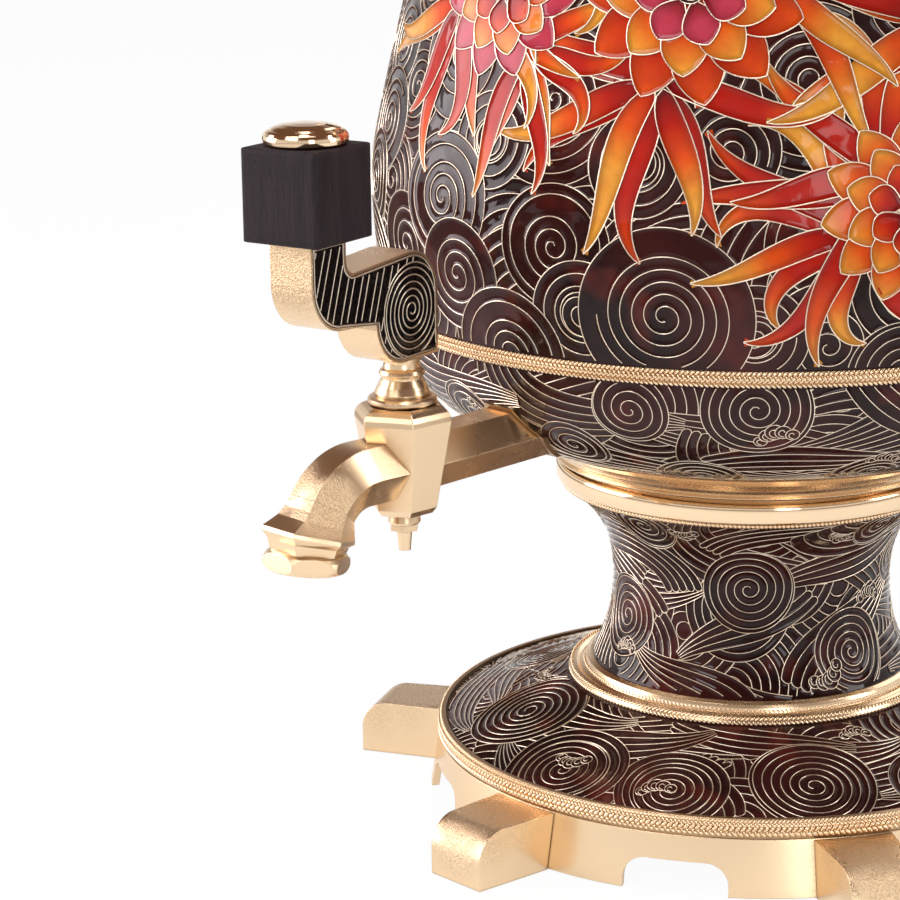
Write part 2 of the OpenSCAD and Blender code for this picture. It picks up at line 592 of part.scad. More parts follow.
module handle_grip() {
    color(WOOD) difference() {
        translate([grip_x, 0, grip_z + bar_grip_w / 2]) rounded_block(bar_grip_w, bar_grip_l, bar_grip_w, 1.4);
        for (s = [-1, 1]) translate([grip_x, s * arm_gap / 2, grip_z - 1]) cylinder(h = 13, r = 2.05);
        for (s = [-1, 1]) translate([grip_x, s * (bar_grip_l / 2 + 1), grip_z + bar_grip_w / 2]) rotate([s * 90, 0, 0]) cylinder(h = 9, r = 2.05);
    }
}
module both_sides() { for (a = [0, 180]) rotate([0, 0, a]) children(); }
module handle_screws() {
    color(STEEL) both_sides() for (s = [-1, 1]) translate([grip_x, s * arm_gap / 2, 0]) {
        translate([0, 0, arm_z + 12.4]) cylinder(h = 2.5, r = 3.9);
        translate([0, 0, arm_z + 14]) cylinder(h = 24, r = 2);
    }
}
module handle_buttons() {
    color(POLISHED) both_sides() for (s = [-1, 1])
        translate([grip_x, s * bar_grip_l / 2, grip_z + bar_grip_w / 2]) rotate([-s * 90, 0, 0]) {
            dome(8.6, 4.4);
            translate([0, 0, -7]) cylinder(h = 7.5, r = 2);
        }
}

// --- lid, vent, crown and cap ---
lid_hole_r = flue_r + 1.2;
vent_y = 44;
vent_seat_z = lid_z + 8.5;
knob_x = 44;
knob_seat_z = lid_z + 9.9;
function lid_line(d = 0) = [[lid_r - d, lid_z + 2.6], [lid_r - 1.6 - d, lid_z + 4.4 - d * 0.4], [50, lid_z + 7.6 - d],
    [42, lid_z + 10.2 - d], [36, lid_z + 11.2 - d], [lid_hole_r, lid_z + 11.5 - d]];
module lid() {
    color(FLOWER) difference() {
        union() {
            ring(concat([[lid_r - 3, lid_z], [lid_r, lid_z]], lid_line(), [[lid_hole_r, lid_z + 6], [lid_hole_r + 1.6, lid_z + 6]],
                backwards(lid_line(1.6)), [[lid_r - 3, lid_z + 2.6]]));
            translate([0, vent_y, vent_seat_z - 2.5]) cylinder(h = 2.5, r = 6);
            for (s = [-1, 1]) translate([s * knob_x, 0, knob_seat_z - 2.7]) cylinder(h = 2.7, r = 5);
        }
        translate([0, vent_y, lid_z - 1]) cylinder(h = 20, r = 2.2);
        translate([0, vent_y, vent_seat_z]) cylinder(h = 20, r = 6);
        for (s = [-1, 1]) translate([s * knob_x, 0, 0]) {
            translate([0, 0, lid_z + 2]) cylinder(h = 20, r = 1.6);
            translate([0, 0, knob_seat_z]) cylinder(h = 20, r = 5);
        }
    }
}
module lid_knob(s) {
    color(WOOD) translate([s * knob_x, 0, knob_seat_z + 8.2]) rounded_block(11, 11, 11, 1);
}
module lid_studs() {
    z = knob_seat_z;
    color(GOLD) for (s = [-1, 1]) translate([s * knob_x, 0, 0])
        ring([[0, lid_z + 4.2], [1.5, lid_z + 4.2], [1.5, z], [4.4, z], [4.6, z + 0.6], [2.6, z + 1.6], [3.2, z + 2.7], [0, z + 2.7]]);
}
module vent_seat() {
    color(POLISHED) translate([0, vent_y, 0]) {
        ring([[2.35, vent_seat_z], [2.35, lid_z + 12.4], [4.6, lid_z + 12.4], [5.4, lid_z + 11.6], [5.8, lid_z + 10], [4.9, vent_seat_z]]);
    }
}
module vent_cap() {
    z = lid_z + 12.6;
    color(POLISHED) translate([0, vent_y, 0]) difference() {
        union() {
            ring([[0, z - 4], [2.25, z - 4], [2.25, z], [5.2, z], [5.6, z + 0.8], [4.4, z + 2], [2, z + 2.6], [1.6, z + 4], [0, z + 4]]);
            translate([0, 0, z + 4.6]) rounded_block(7, 3, 4, 0.8);
        }
        translate([0, 0, z - 5]) cylinder(h = 4, r = 1.2);
        translate([-4, 0, z - 2.4]) rotate([0, 90, 0]) cylinder(h = 4, r = 0.9);
    }
}
crown_z = lid_z + 12.6;
crown_floor_z = flue_top_z + seam;
module crown() {
    color(GOLD) difference() {
        ring([[flue_r + 0.35, crown_z], [flue_r + 3.4, crown_z], [flue_r + 3.8, crown_z + 1.6], [flue_r + 2.6, crown_z + 4],
            [flue_r + 2.6, crown_floor_z + 3], [crown_r - 8, crown_floor_z + 7], [crown_r - 2.5, crown_floor_z + 14],
            [crown_r - 0.6, crown_top_z - 4], [crown_r - 2.4, crown_top_z - 4], [crown_r - 4.3, crown_floor_z + 14.4],
            [crown_r - 9.4, crown_floor_z + 8.6], [flue_r + 2, crown_floor_z + 5], [flue_r + 2, crown_floor_z + 1.8],
            [flue_r - flue_t, crown_floor_z + 1.8], [flue_r - flue_t, crown_floor_z], [flue_r + 0.35, crown_floor_z]]);
        around(12, 15) translate([crown_r - 14, 0, crown_floor_z + 15.2]) rotate([0, 90, 0]) cylinder(h = 20, r = 3.6);
    }
}
module crown_braid() {
    r = crown_r - 0.6;
    z = crown_top_z;
    color(BRAID) ring([[r - 1.9, z - 4], [r + 0.2, z - 4], [r + 1, z - 3.2], [r + 1, z - 2.4], [r + 0.5, z - 1.9], [r + 1, z - 1.4],
        [r + 0.8, z - 0.5], [r, z], [r - 1.9, z]]);
}
cap_z = crown_floor_z + 1.8;
cap_r = 28.6;
module chimney_cap() {
    color(FLOWER) ring(concat([[cap_r - 1.6, cap_z], [cap_r + 1, cap_z], [cap_r + 1.6, cap_z + 0.8], [cap_r + 1, cap_z + 1.8], [cap_r, cap_z + 2]],
        [for (a = [0:10:80]) [5 + (cap_r - 5) * cos(a), cap_z + 4 + 12 * sin(a)]], [[5, cap_z + 16.4], [2.1, cap_z + 16.4], [2.1, cap_z + 14.6]],
        [for (a = [80:-10:0]) [5 + (cap_r - 6.6) * cos(a), cap_z + 4 + 10.4 * sin(a)]]));
}
module cap_knob() {
    color(WOOD) translate([0, 0, cap_z + 18.4 + knob_w / 2]) difference() {
        rounded_block(knob_w, knob_w, knob_w, 1.2);
        cylinder(h = knob_w + 2, r = 2.1, center = true);
    }
}
module cap_collar() {
    color(GOLD) ring([[2.1, cap_z + 16.4], [7, cap_z + 16.4], [7.4, cap_z + 17], [5.6, cap_z + 17.8], [6, cap_z + 18.4], [2.1, cap_z + 18.4]]);
}
module cap_button() {
    color(POLISHED) translate([0, 0, cap_z + 18.4 + knob_w]) {
        dome(7.6, 4.2);
        translate([0, 0, -knob_w - 7]) cylinder(h = knob_w + 7.5, r = 2);
        translate([0, 0, -knob_w - 6.8]) cylinder(h = 2.9, r = 3.4, $fn = 6);
    }
}

foot(0);  // foot_1
foot(1);  // foot_2
foot(2);  // foot_3
foot(3);  // foot_4
foot(4);  // foot_5
foot(5);  // foot_6
foot_screws();
base_skirt();
rim_braid();
base_disc();
base_bolts();
neck_foot_ring();
neck();
polished_ring();
collar_ring();
lower_bowl();
band_braid();
upper_body();
top_band();
shoulder();
water_tank();
tank_floor();
fire_tube();
grate_ring();
grate();
lid_seat_ring();
tap_pipe();
pipe_braid();
pipe_gasket();
pipe_nut();
tap_body();
tap_spout();
tap_mouth();
key_plug();
key_washer();
key_nut();
key_lever();
lever_inlays();
lever_grip();
lever_button();
rotate([0, 0, 180]) handle_arms();  // handle_arms_left
handle_arms();  // handle_arms_right
handle_inlays();
rotate([0, 0, 180]) handle_grip();  // handle_grip_left
handle_grip();  // handle_grip_right
handle_screws();
handle_buttons();
lid();
lid_studs();
lid_knob(-1);  // lid_knob_left
lid_knob(1);  // lid_knob_right
vent_seat();
vent_cap();
crown();
crown_braid();
chimney_cap();
cap_collar();
cap_knob();
cap_button();
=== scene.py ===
import json
import math
import random

import bpy
import numpy as np
from mathutils import Matrix, Vector


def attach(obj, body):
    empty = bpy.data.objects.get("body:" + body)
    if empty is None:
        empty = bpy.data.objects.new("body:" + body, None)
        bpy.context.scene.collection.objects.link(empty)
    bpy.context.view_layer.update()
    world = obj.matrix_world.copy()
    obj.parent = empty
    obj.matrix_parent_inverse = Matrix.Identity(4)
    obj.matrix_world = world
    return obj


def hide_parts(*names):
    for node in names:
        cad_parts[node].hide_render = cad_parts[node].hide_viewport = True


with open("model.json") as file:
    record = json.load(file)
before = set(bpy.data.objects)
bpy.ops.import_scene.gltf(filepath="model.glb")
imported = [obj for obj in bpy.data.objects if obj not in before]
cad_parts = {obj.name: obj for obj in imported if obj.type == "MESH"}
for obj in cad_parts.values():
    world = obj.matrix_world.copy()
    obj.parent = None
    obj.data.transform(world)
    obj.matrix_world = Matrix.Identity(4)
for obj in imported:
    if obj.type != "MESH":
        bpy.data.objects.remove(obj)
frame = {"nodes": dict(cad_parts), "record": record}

# Lengths are in mm, as in part.scad, and MM turns them into metres. The camera, the lamps, the floor and the
# lengths in materials that have no MM are in metres.
MM = 0.001
TAU = 2 * math.pi
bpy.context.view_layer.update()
nodes = frame["nodes"]
rnd = random.Random(7)


# -------- camera
# The camera is fitted in front of the tap, as yaw, pitch and roll in degrees, and then goes round the axis.
CAMERA_AIM = (-5.88, 14.36, -0.77)
CAMERA_TURN = 42
CAMERA_DISTANCE, CAMERA_HEIGHT = 0.9306, 0.3474
LENS, SENSOR = 121.2, 36


def make_camera():
    yaw, pitch, roll, turn = (math.radians(a) for a in (*CAMERA_AIM, CAMERA_TURN))
    ahead = Vector((math.sin(yaw) * math.cos(pitch), math.cos(yaw) * math.cos(pitch), -math.sin(pitch)))
    level = Vector((math.cos(yaw), -math.sin(yaw), 0))
    upright = level.cross(ahead)
    right = level * math.cos(roll) + upright * math.sin(roll)
    up = upright * math.cos(roll) - level * math.sin(roll)
    aim = Matrix.Rotation(turn, 3, "Z") @ Matrix((right, up, -ahead)).transposed()
    place = (CAMERA_DISTANCE * math.sin(turn), -CAMERA_DISTANCE * math.cos(turn), CAMERA_HEIGHT)
    cam = bpy.data.cameras.new("camera")
    cam.lens, cam.sensor_width, cam.sensor_fit = LENS, SENSOR, "HORIZONTAL"
    cam.clip_start, cam.clip_end = 0.02, 40
    o = bpy.data.objects.new("camera", cam)
    o.matrix_world = Matrix.Translation(place) @ aim.to_4x4()
    bpy.context.scene.collection.objects.link(o)
    bpy.context.scene.camera = o


make_camera()


# -------- materials
class Nodes:
    """A short way to write node materials."""

    def __init__(self, name):
        self.mat = bpy.data.materials.new(name)
        self.mat.use_nodes = True
        self.t = self.mat.node_tree
        self.t.nodes.clear()
        self.out, self.sh = self.add("OutputMaterial"), self.add("BsdfPrincipled")
        self.t.links.new(self.sh.outputs[0], self.out.inputs[0])
        self.pos = self.add("TexCoord").outputs["Object"]

    def add(self, kind, **inputs):
        n = self.t.nodes.new("ShaderNode" + kind)
        for k, v in inputs.items():
            self.put(n.inputs[k.replace("_", " ")], v)
        return n

    def put(self, socket, v):
        if isinstance(v, bpy.types.NodeSocket):
            self.t.links.new(v, socket)
        elif isinstance(v, bpy.types.Node):
            self.t.links.new(v.outputs[0], socket)
        else:
            socket.default_value = v

    def set(self, **inputs):
        for k, v in inputs.items():
            self.put(self.sh.inputs[k.replace("_", " ")], v)

    def noise(self, scale, detail=3.0, rough=0.55, vec=None, distortion=0.0):
        return self.add("TexNoise", Vector=vec if vec is not None else self.pos, Scale=scale, Detail=detail,
                        Roughness=rough, Distortion=distortion).outputs["Fac"]

    def stretch(self, x, y, z):
        return self.add("Mapping", Vector=self.pos, Scale=(x, y, z)).outputs[0]

    def math(self, op, a, b, clamp=False):
        n = self.add("Math")
        n.operation, n.use_clamp = op, clamp
        self.put(n.inputs[0], a)
        self.put(n.inputs[1], b)
        return n.outputs[0]

    def vector(self, op, a, b=None):
        """The length that a vector operation gives."""
        n = self.add("VectorMath")
        n.operation = op
        self.put(n.inputs[0], a)
        if b is not None:
            n.inputs[1].default_value = b
        return n.outputs["Value"]

    def range(self, v, a, b, c=0.0, d=1.0):
        """v from a to b becomes c to d."""
        return self.add("MapRange", Value=v, From_Min=a, From_Max=b, To_Min=c, To_Max=d).outputs[0]

    def mix(self, f, a, b):
        n = self.add("Mix")
        n.data_type = "RGBA"
        self.put(n.inputs[0], f)
        for k, v in ((6, a), (7, b)):
            self.put(n.inputs[k], (*v, 1) if isinstance(v, tuple) else v)
        return n.outputs[2]

    def bump(self, height, strength, dist, normal=None):
        n = self.add("Bump", Height=height, Strength=strength, Distance=dist)
        if normal is not None:
            self.put(n.inputs["Normal"], normal)
        return n.outputs[0]

    def bevel(self, radius):
        n = self.add("Bevel", Radius=radius)
        n.samples = 4
        return n.outputs[0]


# the colour of the painted shade in corners, and the colour of sandblasted pits; below, how far the painted
# corner shade reaches, in metres
PAINTED_CREASE_SHADE, PIT = (0.16, 0.075, 0.03), (0.50, 0.32, 0.17)
PAINTED_SHADE_REACH = 0.0016


def gold(name, a, b, rough, grain, bevel=0.0004, patches=(), twist=0.0):
    """Metal between the colours a and b, with painted shade where faces meet in a corner when bevel is set;
    patches (x, y, z, radius) are sandblasted, and twist is for wire.
    """
    m = Nodes(name)
    colour = m.mix(m.range(m.noise(14, 2), 0.3, 0.7), a, b)
    mask = None
    for x, y, z, r in patches:
        d = m.vector("DISTANCE", m.pos, (x * MM, y * MM, z * MM))
        w = m.range(d, r * MM, r * 0.5 * MM)
        mask = w if mask is None else m.math("MAXIMUM", mask, w)
    r = m.range(m.noise(60, 2), 0.3, 0.7, rough * 0.93, rough * 1.08)
    n = m.bevel(bevel) if bevel else None
    if bevel:
        # painted shade: a darker, browner line where two pieces or two faces meet in a corner, taken from
        # ambient occlusion
        near = m.add("AmbientOcclusion", Distance=PAINTED_SHADE_REACH)
        near.samples = 6
        colour = m.mix(m.range(near.outputs["AO"], 0.80, 0.35, 0.0, 0.85), colour, PAINTED_CREASE_SHADE)
    if mask is not None:
        r = m.math("ADD", r, m.math("MULTIPLY", mask, 0.08))
        blast = m.noise(1900, 2, 0.7)
        pits = m.math("MULTIPLY", m.range(blast, 0.62, 0.34), mask)
        colour = m.mix(m.math("MULTIPLY", pits, 0.75), colour, PIT)
        n = m.bump(m.math("MULTIPLY", blast, mask), 1.0, 0.00034, n)
    if twist:
        n = m.bump(m.noise(1500, 1), twist, 0.0002, n)
    n = m.bump(m.noise(1800, 2), grain, 0.00004, n)
    m.set(Base_Color=colour, Metallic=1.0, Roughness=r, Normal=n)
    return m.mat


# the sandblasted patches: on the spout, on the lever's front, and on the front and top of each foot
BLAST = [(-8, -179, 131, 11), (8, -181, 127, 11), (12, -195, 196, 17), (10, -176, 178, 9)]
for degrees in range(-90, 270, 60):
    for r, z in ((123, 14), (112, 17)):
        BLAST.append((r * math.cos(math.radians(degrees)), r * math.sin(math.radians(degrees)), z, 15))

GOLDS = (0.90, 0.67, 0.43), (0.915, 0.695, 0.455)
GILT = gold("gilt_satin", *GOLDS, rough=0.22, grain=0.2, patches=BLAST)
TAP_GILT = gold("gilt_tap", *GOLDS, rough=0.28, grain=0.25, patches=BLAST)
POLISHED = gold("gilt_polished", (0.94, 0.71, 0.47), (0.95, 0.73, 0.49), rough=0.09, grain=0.04)
BRAID = gold("gilt_braid", (0.90, 0.66, 0.42), (0.95, 0.73, 0.50), rough=0.25, grain=0.25, bevel=0)
# painted shade: the braided bands' base under the beads is a dark brown gold, for the shade in the gaps
# between the beads
BRAID_GAP_SHADE = gold("gilt_braid_gap_shade", (0.40, 0.26, 0.14), (0.52, 0.35, 0.20), rough=0.34, grain=0.3, bevel=0)
WIRE = gold("gilt_wire", (0.93, 0.78, 0.61), (0.96, 0.83, 0.67), rough=0.30, grain=0.1, bevel=0, twist=0.7)
STEEL = gold("steel", (0.55, 0.55, 0.56), (0.62, 0.62, 0.62), rough=0.32, grain=0.3)
TANK = gold("tank_steel", (0.66, 0.66, 0.65), (0.74, 0.74, 0.73), rough=0.25, grain=0.2, bevel=0)


def enamel(name, dark, mid, glint, painted=False):
    """Glass enamel: dark with redder, clearer clouds. A painted one takes the colours of its cells from the
    mesh's colour attribute, where the alpha says how much."""
    m = Nodes(name)
    cloud = m.noise(26, 2, 0.5, distortion=0.4)
    spots = m.noise(62, 2, 0.5)
    c = m.mix(m.range(cloud, 0.36, 0.66), dark, mid)
    c = m.mix(m.range(spots, 0.56, 0.80), c, glint)
    if painted:
        own = m.add("Attribute")
        own.attribute_name = "col"
        blush = m.range(m.noise(200, 2), 0.35, 0.75, 0.0, 0.30)
        c = m.mix(own.outputs["Alpha"], c, m.mix(blush, own.outputs["Color"], (0.30, 0.01, 0.01)))
    m.set(Base_Color=c, Roughness=m.range(spots, 0.3, 0.7, 0.045, 0.075), IOR=1.5, Specular_IOR_Level=0.25,
          Normal=m.bump(m.noise(150, 1), 0.5, 0.0006, m.bump(m.noise(520, 1), 0.10, 0.0001)))
    return m.mat


ENAMEL_COLOURS = {
    "enamel_dark": ((0.0115, 0.0034, 0.0032), (0.042, 0.0082, 0.0072), (0.105, 0.014, 0.010)),
    "enamel_black": ((0.0030, 0.0020, 0.0022), (0.0055, 0.0030, 0.0032), (0.010, 0.004, 0.004)),
    "enamel_floral": ((0.10, 0.008, 0.006), (0.30, 0.016, 0.008), (0.55, 0.07, 0.015))}
ENAMEL, BLACK, FLORAL = (enamel(name, *colours) for name, colours in ENAMEL_COLOURS.items())
PAINTED = {m.name: enamel(m.name + "_painted", *colours, painted=True)
           for m, colours in zip((ENAMEL, BLACK, FLORAL), ENAMEL_COLOURS.values())}


def wood(name, along):
    """Open-pored dark wood; along is the axis the grain runs in, 1 for y and 2 for z."""
    def stretched(k):
        return m.stretch(*(k if i == along else 1 for i in range(3)))

    m = Nodes(name)
    fibre = m.noise(900, 4, 0.7, vec=stretched(0.07))
    pores = m.range(m.noise(2100, 2, 0.5, vec=stretched(0.16)), 0.63, 0.70)
    ring = m.noise(120, 3, 0.6, vec=stretched(0.12), distortion=0.8)
    c = m.mix(m.range(ring, 0.3, 0.7), (0.0095, 0.0062, 0.0078), (0.024, 0.015, 0.0185))
    c = m.mix(m.range(fibre, 0.42, 0.72, 0, 0.65), c, (0.036, 0.022, 0.026))
    c = m.mix(m.math("MULTIPLY", pores, 0.6), c, (0.004, 0.003, 0.003))
    relief = m.math("SUBTRACT", fibre, m.math("MULTIPLY", pores, 0.9))
    m.set(Base_Color=c, Roughness=m.range(fibre, 0.3, 0.7, 0.55, 0.72), Specular_IOR_Level=0.22,
          Normal=m.bump(relief, 0.7, 0.0003, m.bevel(0.0013)))
    return m.mat


WOOD = wood("dark_wood", 2)
GRIP_WOOD = wood("dark_wood_grip", 1)


def rubber():
    m = Nodes("gasket_rubber")
    m.set(Base_Color=m.mix(m.noise(200), (0.55, 0.55, 0.53), (0.66, 0.66, 0.63)), Roughness=0.8,
          Normal=m.bump(m.noise(1500), 0.3, 0.0001))
    return m.mat


BY_SLOT = {"gilt_satin": GILT, "gilt_polished": POLISHED, "gilt_braid": BRAID, "enamel_dark": ENAMEL,
           "enamel_floral": FLORAL, "dark_wood": WOOD, "steel": STEEL, "tank_steel": TANK,
           "gasket_rubber": rubber()}
BRAIDED = ("rim_braid", "band_braid", "top_band", "crown_braid", "pipe_braid")
slot_of = {s["node"]: s.get("material_slot", s["node"]) for s in frame["record"]["subparts"]}
for name, o in nodes.items():
    o.data.materials.clear()
    mat = BY_SLOT[slot_of[name]]
    # painted shade: the braided bands under the bead rows take the dark gold that stands for the shade
    # between the beads
    if name in BRAIDED:
        mat = BRAID_GAP_SHADE
    elif name in ("lever_inlays", "handle_inlays"):
        mat = BLACK
    elif name == "neck_foot_ring":
        mat = GILT
    elif name.startswith(("tap_", "key_")):
        mat = TAP_GILT
    elif name.startswith("handle_grip"):
        mat = GRIP_WOOD
    o.data.materials.append(mat)


# -------- mesh helpers
def build(name, verts, quads, mats, index=None, col=None, sharp=None):
    """A mesh object from arrays: verts in mm, quads (n, 4), a material per face, a colour per vertex."""
    verts, quads = np.asarray(verts, np.float32), np.asarray(quads, np.int32)
    me = bpy.data.meshes.new(name)
    me.vertices.add(len(verts))
    me.vertices.foreach_set("co", (verts * MM).ravel())
    me.loops.add(len(quads) * 4)
    me.loops.foreach_set("vertex_index", quads.ravel())
    me.polygons.add(len(quads))
    me.polygons.foreach_set("loop_start", np.arange(len(quads), dtype=np.int32) * 4)
    for m in mats:
        me.materials.append(m)
    if index is not None:
        me.polygons.foreach_set("material_index", np.asarray(index, np.int32))
    me.update(calc_edges=True)
    me.validate()
    me.shade_smooth()
    if sharp:
        me.set_sharp_from_angle(angle=math.radians(sharp))
    if col is not None:
        a = me.color_attributes.new("col", "FLOAT_COLOR", "POINT")
        a.data.foreach_set("color", np.asarray(col, np.float32).ravel())
    o = bpy.data.objects.new(name, me)
    bpy.context.scene.collection.objects.link(o)
    return o


def grid(rows, columns):
    """The quads of a net of points that are stored row by row."""
    i, j = np.meshgrid(np.arange(rows - 1), np.arange(columns - 1), indexing="ij")
    first = i * columns + j
    return np.stack([first, first + 1, first + columns + 1, first + columns], -1).reshape(-1, 4)


def turned(name, node, profile, mat, sharp=30, n=360):
    """A closed profile of (radius, height) points turned about the axis, in place of a faceted solid."""
    p = np.asarray(profile, float)
    k = len(p)
    a = np.arange(n) * TAU / n
    x, y = np.outer(np.cos(a), p[:, 0]), np.outer(np.sin(a), p[:, 0])
    verts = np.stack([x, y, np.tile(p[:, 1], (n, 1))], -1).reshape(-1, 3)
    i, j = np.meshgrid(np.arange(n), np.arange(k), indexing="ij")
    i2, j2 = (i + 1) % n, (j + 1) % k
    quads = np.stack([i * k + j, i2 * k + j, i2 * k + j2, i * k + j2], -1).reshape(-1, 4)
    o = build(name, verts, quads, [mat], sharp=sharp)
    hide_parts(node)
    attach(o, "samovar")


class Surface:
    """The outside of a turned piece: v runs along the profile from its first point, in mm."""

    def __init__(self, points):
        p = np.asarray(points, float)
        s = np.concatenate([[0], np.cumsum(np.hypot(*np.diff(p, axis=0).T))])
        self.v = np.linspace(0, s[-1], 400)
        self.r, self.z = np.interp(self.v, s, p[:, 0]), np.interp(self.v, s, p[:, 1])
        k = np.ones(9) / 9
        dr, dz = np.gradient(self.r, self.v), np.gradient(self.z, self.v)
        dr, dz = (np.convolve(np.pad(g, 4, mode="edge"), k, "valid") for g in (dr, dz))
        self.nr, self.nz = dz / np.hypot(dr, dz), -dr / np.hypot(dr, dz)
        self.length = s[-1]

    def radius(self, v):
        return np.interp(v, self.v, self.r)

    def section(self, v):
        """Radius, height and the normal's two parts at v."""
        return (np.interp(v, self.v, a) for a in (self.r, self.z, self.nr, self.nz))

    def at(self, th, v, h=0.0):
        """Points at the angles th and the lengths v, raised by h, and their normals."""
        r, z, nr, nz = self.section(v)
        c, s = np.cos(th), np.sin(th)
        return (np.stack([(r + nr * h) * c, (r + nr * h) * s, z + nz * h], -1),
                np.stack([nr * c, nr * s, nz], -1))


class Plane:
    """A flat face: (th, v) are mm along two directions from an origin."""
    length = 1e9

    def __init__(self, origin, x, y):
        self.o, self.x, self.y = (np.asarray(a, float) for a in (origin, x, y))
        self.n = np.cross(self.x, self.y)

    def radius(self, v):
        return np.ones_like(np.asarray(v, float))

    def at(self, th, v, h=0.0):
        th, v = np.asarray(th, float), np.asarray(v, float)
        p = self.o + th[..., None] * self.x + v[..., None] * self.y + h * self.n
        return p, np.broadcast_to(self.n, p.shape)


def inside(poly, p):
    """Which points lie in the polygon."""
    x, y = p[:, :1], p[:, 1:]
    p0, p1 = poly, np.roll(poly, -1, axis=0)
    cross = (p0[:, 1] > y) != (p1[:, 1] > y)
    with np.errstate(divide="ignore", invalid="ignore"):
        xi = (p1[:, 0] - p0[:, 0]) * (y - p0[:, 1]) / (p1[:, 1] - p0[:, 1]) + p0[:, 0]
    return (cross & (x < xi)).sum(1) % 2 == 1


def runs_of(good):
    """First and last+1 of each run of True."""
    edges = np.flatnonzero(np.diff(np.concatenate([[0], good.astype(int), [0]])))
    return zip(edges[::2], edges[1::2])


def polar(r, a):
    """Points at the distances r and the angles a."""
    return np.stack([r * np.cos(a), r * np.sin(a)], -1)


def path(length, n, turn, bend, twist):
    """A curve of n points that starts towards turn: its share of the length, angle, points and sideways."""
    t = np.linspace(0, 1, n)
    angle = turn + bend * t + twist * t * t
    step = length / (n - 1)
    x, y = (np.concatenate([[0], np.cumsum(f(angle[:-1]) * step)]) for f in (np.cos, np.sin))
    return t, angle, np.stack([x, y], -1), np.stack([-np.sin(angle), np.cos(angle)], -1)


# no colour: the enamel's own shows
CLEAR = (0.0, 0.0, 0.0, 0.0)
# rings of petals in a blossom, as share of its size and number
PETAL_RINGS = ((1.0, 11), (0.72, 9), (0.45, 7))
# a piece with more quads than this is cut into sectors
PIECE_QUADS = 85000
# height of a cell's corner that a later shape hides
SUNK = 0.005
# how far inside its edge a disc begins to hide lines
EDGE = 0.05
# a wire's steps to find the place where a shape hides it
HALVINGS = 5


